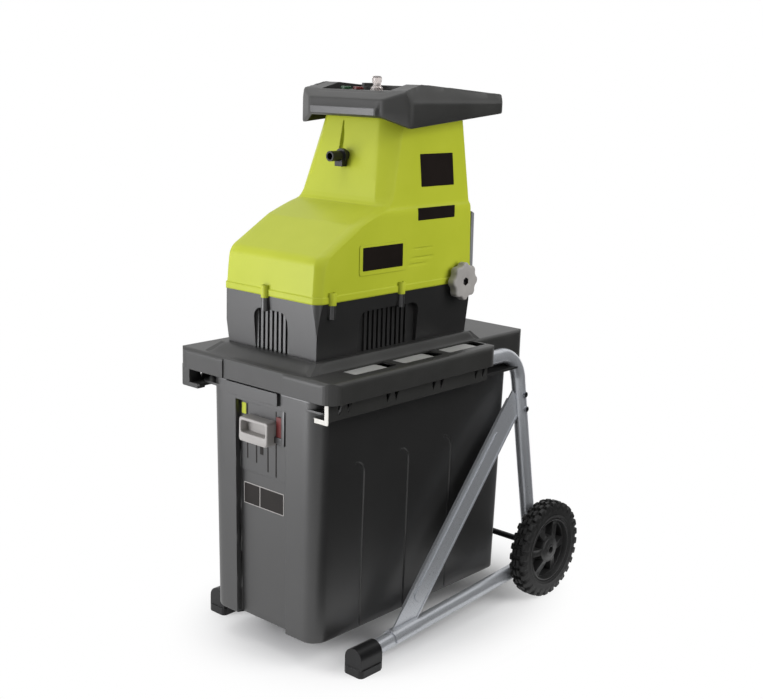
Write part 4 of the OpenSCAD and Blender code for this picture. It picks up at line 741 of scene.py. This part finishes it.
# %% Inserts and rail ends
# polypropylene, fine grain: pale neutral grey, dry
finishes["insert_grey"] = moulded(
    "polypropylene_insert_grey", "#b0b0ae", "#a4a4a2",
    rough=0.5, grain_mm=1.4, bump=0.15, level=0.4,
)
window_x, window_half, window_front, window_pitch = 151, 17.7, 80, 124
for side in (-1, 1):
    for k in range(3):
        y0 = window_front + window_pitch * k
        for name, start, end, top, finish, slot in (
            ("insert", 0.3, 88, 533.4, "insert_grey", "light_grey_plastic"),
            # the black end piece: painted shade at the window's rear end
            ("insert_shade_end", 87, 105.7, 526, *black),
        ):
            u, v = loop(window_half, (end - start) / 2, 4.5, 64).T
            x, y = side * window_x + u, y0 + (start + end) / 2 + v
            grid = np.array([
                np.stack([x - np.sign(u) * cut, y - np.sign(v) * cut, height + 0 * u], -1)
                for height, cut in ((top - 4, 0), (top - 0.6, 0), (top, 0.6))
            ])
            made = surface(f"{name}_{side + 1}_{k}", grid, wrap=True, ends=True)
            finish_piece(made, "machine", finish, slot)
    outer, back = (177, 10.4) if side > 0 else (188, 26)
    angle_line = np.array([
        (146, 463.6), (outer - 2, 463.6), (outer, 465.6), (outer, 503), (168.8, 503),
        (168.8, 471.6), (146, 471.6),
    ])
    grid = np.stack([
        np.insert(angle_line, 1, depth, axis=1) * (side, 1, 1) for depth in (9.2, back)
    ])
    made = surface(f"rail_end_{side + 1}", grid, wrap=True, ends=True)
    # white on the right: a painted highlight of the lit end; black on the left: painted shade
    lit_or_shaded_cap = ("white_plastic", "light_grey_plastic") if side > 0 else black
    finish_piece(made, "machine", *lit_or_shaded_cap)

# %% [markdown]
# ## Swage of the braces
# Each brace is a pressed strip, stiffened by a long raised swage between its folded edges. It is a
# raised plate whose four corners are shares along and across the brace's outer face.

# %% Brace swages
foot_edges = np.array([(177.1, 214.4, 82.1), (178.7, 247.7, 52.5)])
head_edges = np.array([(159.3, 531.7, 410.7), (161.2, 557.7, 375.8)])
for side, word in sides:
    corners = []
    for along_share, across_share in ((0.06, 0.24), (0.06, 0.74), (0.86, 0.74), (0.86, 0.24)):
        edges = foot_edges + (head_edges - foot_edges) * along_share
        corners.append((edges[0] + (edges[1] - edges[0]) * across_share) * (side, 1, 1))
    swage = plate(f"brace_swage_{word}", corners, 9, 2.2, 2.4, (side * 0.999, 0, 0.054))
    finish_piece(swage, "machine", "silver_paint", "silver_paint")

# %% [markdown]
# ## Painted shade behind the vents
# Behind each side vent a black sheet paints the shade of the housing's inside, so no daylight shows
# through the slots. Each is a thin plate close behind the vent's back wall.

# %% Painted shade behind the vents
shade_sheet_x = 94.5
for side, word in sides:
    # a black sheet: painted shade behind the vent's slots
    corners = on_flank(166, 284, 555, 624, side * shade_sheet_x, side * shade_sheet_x)
    shade_sheet = plate(f"vent_shade_sheet_{word}", corners, 3, 0.6, 0.4, (side, 0, 0))
    finish_piece(shade_sheet, "machine", "foot_vinyl", "black_plastic")

# %% [markdown]
# ## Rim of the hopper tray
# The tray is moulded with soft edges all round, and a lip stands out along the lower front below the
# controls. A ring of rows follows the tray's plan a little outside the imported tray, over the slanted
# rim and down behind it, so the mouth and the well of the controls stay open.

# %% Plan and heights of the tray
tray_front, tray_rear, tray_half = 218, 508, 130


def tray_loop(inset, lip):
    """The tray's plan drawn in by inset: even points on each edge, rounded by a mean over five
    neighbours. The front edge moves forward by lip between soft steps near its two ends."""
    x, p = tray_half - inset, 85 - inset / 2
    y0, y1 = tray_front + inset, tray_rear - min(inset, 14)
    corners = np.array([
        (-p, y0), (p, y0), (x, y0 + 29), (x, y1 - 8), (x - 8, y1), (8 - x, y1), (-x, y1 - 8),
        (-x, y0 + 29),
    ])
    counts = [68, 20, 90, 5, 90, 5, 90, 20]
    points = np.concatenate([
        corner + (after - corner) * np.linspace(0, 1, count, endpoint=False)[:, None]
        for corner, after, count in zip(corners, np.roll(corners, -1, 0), counts)
    ])
    points = sum(np.roll(points, k, 0) for k in range(-2, 3)) / 5
    front = np.exp(-(((points[:, 1] - y0) / 6) ** 2))
    front = front * (1 - step(np.abs(points[:, 0]), p - 7, p - 3))
    points[:, 1] -= lip * front
    return points, front


def tray_under(y):
    """Height of the tray's lower edge: straight lines down from the front, then up to the rear."""
    return np.interp(y, [tray_front, 247, tray_rear], [948, 930, 955])


def tray_over(x, y):
    """Height of the tray's upper edge: lines from front to rear, cut down where the ears slope."""
    ears = np.interp(np.abs(x), [115, tray_half], [1002, 972])
    return np.minimum(np.interp(y, [tray_front, 241, 288, tray_rear], [976, 990, 1002, 987]), ears)


print("tray plan of", len(tray_loop(0, 0)[0]), "points")

# %% [markdown]
# ### Rim and lip
# Each row of the rim has an inset, a lip, a share of the height between the tray's two edges and a
# lift. The rows go out under the tray, up its face and over the top. The lip's face catches the light
# as a strip of its own, so it is a thin plate in a smoother finish.

# %% Tray rim and lip
rows = []
for inset, lip, share, lift in (
    (3, 0, 0, 5), (3, 0, 0, -0.7), (-0.6, 4, 0, -0.7), (-1.5, 5, 0, 1.2), (-1.5, 5, 0.36, 0),
    (-1.5, 4.4, 0.42, 0), (-1.5, 3.4, 0.46, 0), (-1.5, 0, 0.9, 0), (-1.2, 0, 1, -0.6),
    (0.4, 0, 1, 1), (3, 0, 1, 1.2), (8, 0, 1, 1.2), (12.5, 0, 1, 1.2), (14.4, 0, 1, 1),
    (16.4, 0, 1, 0.6), (17, 0, 1, -3),
):
    plan, front = tray_loop(inset, lip)
    x, y = plan[:, 0], plan[:, 1] + lip * front
    low, high = tray_under(y), tray_over(x, y)
    share = share + (0.5 - share) * front * (0.3 < share < 0.5)
    rows.append(np.stack([x, plan[:, 1], low + (high - low) * share + lift], -1))
rim = surface("tray_rim", np.array(rows + rows[:1]), wrap=True, crease=35)
finish_piece(rim, "machine", *black)
# polypropylene, smoother mould: a satin strip, a little brighter than the tray
finishes["lip_satin"] = moulded(
    "polypropylene_lip_satin", "#333334", "#2a2a2b",
    rough=0.38, grain_mm=1.4, bump=0.1, level=0.75, cloud_mm=50,
)
lip_face = plate("tray_lip", on_front(-76, 76, 949, 961, 211.6, 211.6), 2, 0.9, 0.8, ahead)
finish_piece(lip_face, "machine", "lip_satin", "black_plastic")

# %% [markdown]
# ## Adjuster knob
# The knob on the right flank has eight soft lobes and a hexagon in its face for a key. Its outline is
# a circle with a wave of eight, and the rows carry that outline over a rounded edge and into the
# hexagon. A dark liner fills the key's hole.

# %% Lobed knob
knob_x, knob_y, knob_z = 122, 407, 652
lobe_r, lobe_out, lobes, key_r = 32.8, 2.3, 8, 7.4
turn = np.linspace(0, 2 * np.pi, 288, endpoint=False)


def from_sixth(angle):
    """The angle to the nearest of six even directions, from minus 30 to 30 degrees."""
    return (angle + np.pi / 6) % (np.pi / 3) - np.pi / 6


def knob_rows(pairs):
    """Rows from pairs of radius and depth: the cosine and sine of turn times the radius, round the
    screw's axis, at that depth out from the flank."""
    return np.array([
        np.stack([
            knob_x + depth + 0 * turn, knob_y + radius * np.cos(turn),
            knob_z + radius * np.sin(turn),
        ], -1)
        for radius, depth in pairs
    ])


wave = np.cos(lobes * turn)
lobed = lobe_r + lobe_out * np.sign(wave) * np.abs(wave) ** 0.75
hexagon = key_r * np.cos(np.pi / 6) / np.cos(from_sixth(turn))
knob = knob_rows((
    (9, 0.2), (lobed - 2, 0), (lobed - 0.6, 0.8), (lobed, 3), (lobed, 12.5), (lobed - 0.7, 14.6),
    (lobed - 2.4, 15.8), (lobed - 5, 16), (20, 15.6), (hexagon + 1.2, 15.4), (hexagon, 14.8),
    (hexagon, 6),
))
knob = surface("knob_lobed", knob, wrap=True, ends=True, crease=40)
finish_piece(knob, "adjuster", *pale, "adjuster_knob")
liner = knob_rows((
    (0.5, 6), (hexagon + 0.2, 6), (hexagon + 0.2, 15.3), (hexagon - 0.3, 15.3),
    (hexagon - 0.3, 6.5), (0.5, 6.5),
))
finish_piece(surface("knob_key_hole", liner, wrap=True, ends=True), "adjuster", *foil)

# %% [markdown]
# ## Wheels
# A wheel is one black moulding: a rim, six broad spokes that dish inwards, and a flat hub. The section
# is carried round the axle, and the windows between the spokes are pressed into its outer face by a
# mask, down to a thin back wall.

# %% Wheel discs
wheel_x, axle_y, axle_z = 210, 608, 98


def wheel(name, side):
    """A wheel: pairs of radius and depth carried round the axle by cosine and sine.
    A window is where the radius lies between hub and rim and the distance to the nearest spoke's
    middle line, the radius times the sine of the angle to it, is more than half a spoke. A hollow
    runs down each spoke, deepest on its middle line."""
    face_r = np.linspace(58.5, 23.5, 50)
    face = np.stack([face_r, 9 + 3.5 * np.cos((face_r - 23.5) / 35 * np.pi)], -1)
    section = np.concatenate([
        [(6.4, -15), (22, -15), (30, -12), (56, -12), (59, -16), (62.6, -16.6), (64, -15)],
        [(64, 14), (63.2, 15.6), (61.6, 16.2), (60.2, 15.4), (59.4, 12)],
        face,
        [(22.6, 13.6), (21.4, 14.6), (12, 14.9), (10.5, 16.4), (8, 17), (6.4, 16.6), (6.4, -15)],
    ])
    turn = np.linspace(0, 2 * np.pi, 432, endpoint=False)
    r, depth = section[:, :1], section[:, 1:] + 0 * turn
    off = r * np.sin(from_sixth(turn))
    wide = 5.6 + 0.09 * (r - 24)
    window = step(np.abs(off), wide, wide + 1.6)
    window = window * step(r, 26.5, 28.5) * (1 - step(r, 54.5, 56.5))
    hollow = 2.2 * np.clip(1 - (off / wide) ** 2, 0, 1)
    hollow = hollow * step(r, 27, 34) * (1 - step(r, 50, 57))
    depth = np.where(depth > 4, depth - 17 * window - hollow, depth)
    grid = [side * (wheel_x + depth), axle_y + r * np.cos(turn), axle_z + r * np.sin(turn)]
    return surface(name, np.stack(grid, -1), wrap=True, crease=38)


for side, word in sides:
    disc = wheel(f"wheel_disc_{word}", side)
    finish_piece(disc, f"wheel_{word}", "wheel_plastic", "wheel_plastic", f"wheel_{word}")

# %% [markdown]
# ### Tyres
# The tyres are moulded rubber with rows of blocks across the tread and lugs down both shoulders. The
# section of the tyre is carried round the axle, and the blocks are raised along the radius.


# %% Tyre tread
def tyre(name, side):
    """A tyre: section points (offset, radius) spun round the axle, with blocks raised on the tread.
    A block's height is a product of soft steps: one along the tread for each row, one across it.
    Lugs and a bead stand out sideways in the same way."""
    blocks, tread_deep, row_edge, half_width, inner_r = 28, 6.0, 8.4, 18, 63.7
    section = np.array([
        (-14.5, 64.1), (-16.4, 66), (-17.4, 72), (-17.6, 80), (-17, 85), (-16, 88.6),
        (-14, 90.6), (-9, 91.6), (0, 92), (9, 91.6), (14, 90.6), (16, 88.6), (17, 85),
        (17.6, 80), (17.4, 72), (16.4, 66), (14.5, 64.1),
    ])
    offset, radius = (column[:, None] for column in resample(section, 110))
    turn = np.linspace(0, 2 * np.pi, blocks * 20, endpoint=False)[None]
    out = np.abs(offset)
    row = np.where(out < row_edge, 0.0, 0.5) + np.where(offset < 0, 0.0, 0.12)
    phase = (turn / (2 * np.pi) * blocks + row) % 1
    along = step(phase, 0.0, 0.08) * (1 - step(phase, 0.58, 0.66))
    gap = step(out, 0.9, 1.8) * step(np.abs(out - row_edge), 0.5, 1.4)
    tread = tread_deep * along * gap * step(radius, 86, 90)
    lug = 1.0 * along * step(radius, 80, 83) * (1 - step(radius, 89, 92))
    bead = 0.7 * (1 - step(np.abs(radius - 71), 1.2, 2.6)) * (out > 16)
    x = offset + np.sign(offset) * np.minimum(lug + bead, half_width - out)
    inner = np.array([14.5, -14.5])[:, None]
    x = np.concatenate([x, inner + 0 * turn])
    r = np.concatenate([radius + tread, inner_r + 0 * inner + 0 * turn])
    grid = [side * wheel_x + x, axle_y + r * np.cos(turn), axle_z + r * np.sin(turn)]
    grid = np.stack(grid, -1)
    return surface(name, np.concatenate([grid, grid[:1]]), wrap=True, crease=30)


for side, word in sides:
    tread = tyre(f"tyre_tread_{word}", side)
    finish_piece(tread, f"wheel_{word}", "tyre_rubber", "tyre_rubber", f"tyre_{word}")

# %% [markdown]
# ## Studio floor and surround
# The picture is a plain studio shot on white. The floor is white paper that keeps the shadow under the
# machine and fades into plain white around it, and the world is a pale surround. To the eye, in
# mirrors and through glass both are full white; as light they are softer.


# %% Floor and surround
def white_to_eye(tree):
    """An output that is 1 for camera, glossy and transmission rays, else 0: the largest of them."""
    ray = add(tree, "LightPath").outputs
    two = {0: ray["Is Camera Ray"], 1: ray["Is Glossy Ray"]}
    seen = add(tree, "Math", two, operation="MAXIMUM").outputs[0]
    three = {0: seen, 1: ray["Is Transmission Ray"]}
    return add(tree, "Math", three, operation="MAXIMUM").outputs[0]


reach = np.linspace(-6, 6, 13) * 1000
ground = np.stack([*np.meshgrid(reach, reach + front_edge, indexing="ij"), np.zeros((13, 13))], -1)
floor = surface("studio_floor", ground)
# matt paper: near white, with a faint fibre that is drawn coarse enough to show
material, tree, place, out = new_finish("paper_floor_white")
fibre_mm, shadow_x, shadow_y = 3, 0.3, 0.42
seen = white_to_eye(tree)
oval = add(tree, "Mapping", {"Vector": place, "Scale": (1 / shadow_x, 1 / shadow_y, 0)})
away = add(tree, "VectorMath", {0: oval.outputs[0]}, operation="LENGTH")
far = add(
    tree, "MapRange", {"Value": away.outputs["Value"], "From Min": 0.55, "From Max": 1.15},
    interpolation_type="SMOOTHSTEP",
)
mask = add(tree, "Math", {0: seen, 1: far.outputs[0]}, operation="MULTIPLY")
fibre = add(tree, "TexNoise", {"Vector": place, "Scale": 1000 / fibre_mm})
paper = add(
    tree, "Mix", {0: fibre.outputs["Fac"], 6: linear("#f4f4f4"), 7: linear("#fafafa")},
    data_type="RGBA",
)
lit = add(tree, "BsdfDiffuse", {"Color": paper.outputs[2]})
white = add(tree, "Emission", {"Color": (1, 1, 1, 1), "Strength": 1.0})
both = add(tree, "MixShader", {0: mask.outputs[0], 1: lit.outputs[0], 2: white.outputs[0]})
tree.links.new(both.outputs[0], out.inputs["Surface"])
floor.data.materials.append(material)

world = bpy.data.worlds.new("studio_surround")
scene.world = world
world.use_nodes = True
tree = world.node_tree
tree.nodes.clear()
level = add(tree, "MapRange", {"Value": white_to_eye(tree), "To Min": 0.45, "To Max": 1.0})
sky = add(tree, "Background", {"Color": (1, 1, 1, 1), "Strength": level.outputs[0]})
add(tree, "OutputWorld", {"Surface": sky.outputs[0]})
print("floor of", len(floor.data.polygons), "faces and a white surround")

# %% [markdown]
# ### Black cards
# In a white room a dark plastic side mirrors white and turns grey. A photographer sets up black cards
# where the side would mirror the room: one lies on the right, one stands at the back of it, and one
# stands behind the camera. Only the camera misses them.

# %% Black cards
# felt: near black and matt, with a nap that is drawn coarse enough to show
material, tree, place, out = new_finish("card_black_felt")
nap_mm = 4
felt = add(tree, "TexNoise", {"Vector": place, "Scale": 1000 / nap_mm})
nap = add(
    tree, "Mix", {0: felt.outputs["Fac"], 6: linear("#0c0c0c"), 7: linear("#141414")},
    data_type="RGBA",
)
lit = add(tree, "BsdfDiffuse", {"Color": nap.outputs[2]})
tree.links.new(lit.outputs[0], out.inputs["Surface"])
u, v = np.meshgrid(np.linspace(0, 1, 9), np.linspace(0, 1, 9), indexing="ij")
for name, grid in (
    ("card_lying", [330 + 1900 * u, -150 + 2900 * v, 1.5 + 0 * u]),
    ("card_standing", [2500 - 2200 * u, front_edge + 450 + 2100 * u, 4 + 1900 * v]),
    ("card_behind", [1150 + 1260 * u, front_edge - 2590 + 1100 * u, 4 + 2100 * v]),
):
    card = surface(name, np.stack(grid, -1))
    card.data.materials.append(material)
    card.visible_camera = False
    print(name, "of", len(card.data.polygons), "faces")

# %% [markdown]
# ### Lamps
# A tall soft box at the front left lights the machine, a second one above it fills the top faces, and
# a weak one on the right keeps that side from going black. Area lamps give the broad soft highlights
# of such boxes. Places are in metres here.


# %% Lamps
def soft_box(name, place, target, width, height, power):
    """A rectangular lamp at a place, turned to face a target: its axes are the cross products of
    the line of sight with the upright direction, then with that side."""
    lamp = bpy.data.lights.new(name, "AREA")
    lamp.shape, lamp.size, lamp.size_y, lamp.energy = "RECTANGLE", width, height, power
    obj = bpy.data.objects.new(name, lamp)
    look = np.array(target, float) - np.array(place, float)
    look /= np.linalg.norm(look)
    side = np.cross(look, (0, 0, 1))
    side /= np.linalg.norm(side)
    turn = Matrix(np.stack([side, np.cross(side, look), -look], 1).tolist()).to_4x4()
    obj.matrix_world = Matrix.Translation(place) @ turn
    scene.collection.objects.link(obj)
    print(name, power, "W")
    return obj


front_box = soft_box("front_box", (-0.9, -1.95, 0.7), (0, -0.2, 0.4), 1.1, 1.4, 35)
front_box.data.color = (0.97, 0.97, 1.0)
soft_box("top_box", (-0.3, -0.3, 2.6), (0, 0, 0.5), 1.6, 1.6, 16)
side_fill = soft_box("side_fill", (1.5, 0.5, 1.15), (0, 0, 0.6), 1.2, 1.3, 24)
side_fill.visible_glossy = False

# %% [markdown]
# ### Camera
# The camera stands to the right of the front, a little above the deck, with a slight roll. Its place
# and angles were fitted to the picture once, so they are written as numbers: the turn from straight
# ahead, the fall of the line of sight, and the roll about it.

# %% Camera
lens = bpy.data.cameras.new("product_lens")
lens.sensor_fit, lens.sensor_width, lens.lens = "HORIZONTAL", 36.0, 57.68
lens.clip_start, lens.clip_end = 0.05, 30
camera = bpy.data.objects.new("product_camera", lens)
scene.collection.objects.link(camera)
turn, fall, roll = np.radians([41.45, 12.79, 1.68])
look = np.array([-np.sin(turn) * np.cos(fall), np.cos(turn) * np.cos(fall), -np.sin(fall)])
level_side = np.array([np.cos(turn), np.sin(turn), 0])
upward = np.cross(level_side, look)
right = np.cos(roll) * level_side + np.sin(roll) * upward
above = np.cos(roll) * upward - np.sin(roll) * level_side
pose = np.eye(4)
pose[:3, :3] = np.stack([right, above, -look], 1)
pose[:3, 3] = (1.4886, -1.7042, 1.0219)
camera.matrix_world = Matrix(pose.tolist())
scene.camera = camera
scene.view_settings.view_transform = "Standard"
print("camera with a lens of", lens.lens, "mm")

# %% [markdown]
# ## Last update
# The view layer is updated once more, so that every piece's place is worked out.

# %% Last update
bpy.context.view_layer.update()
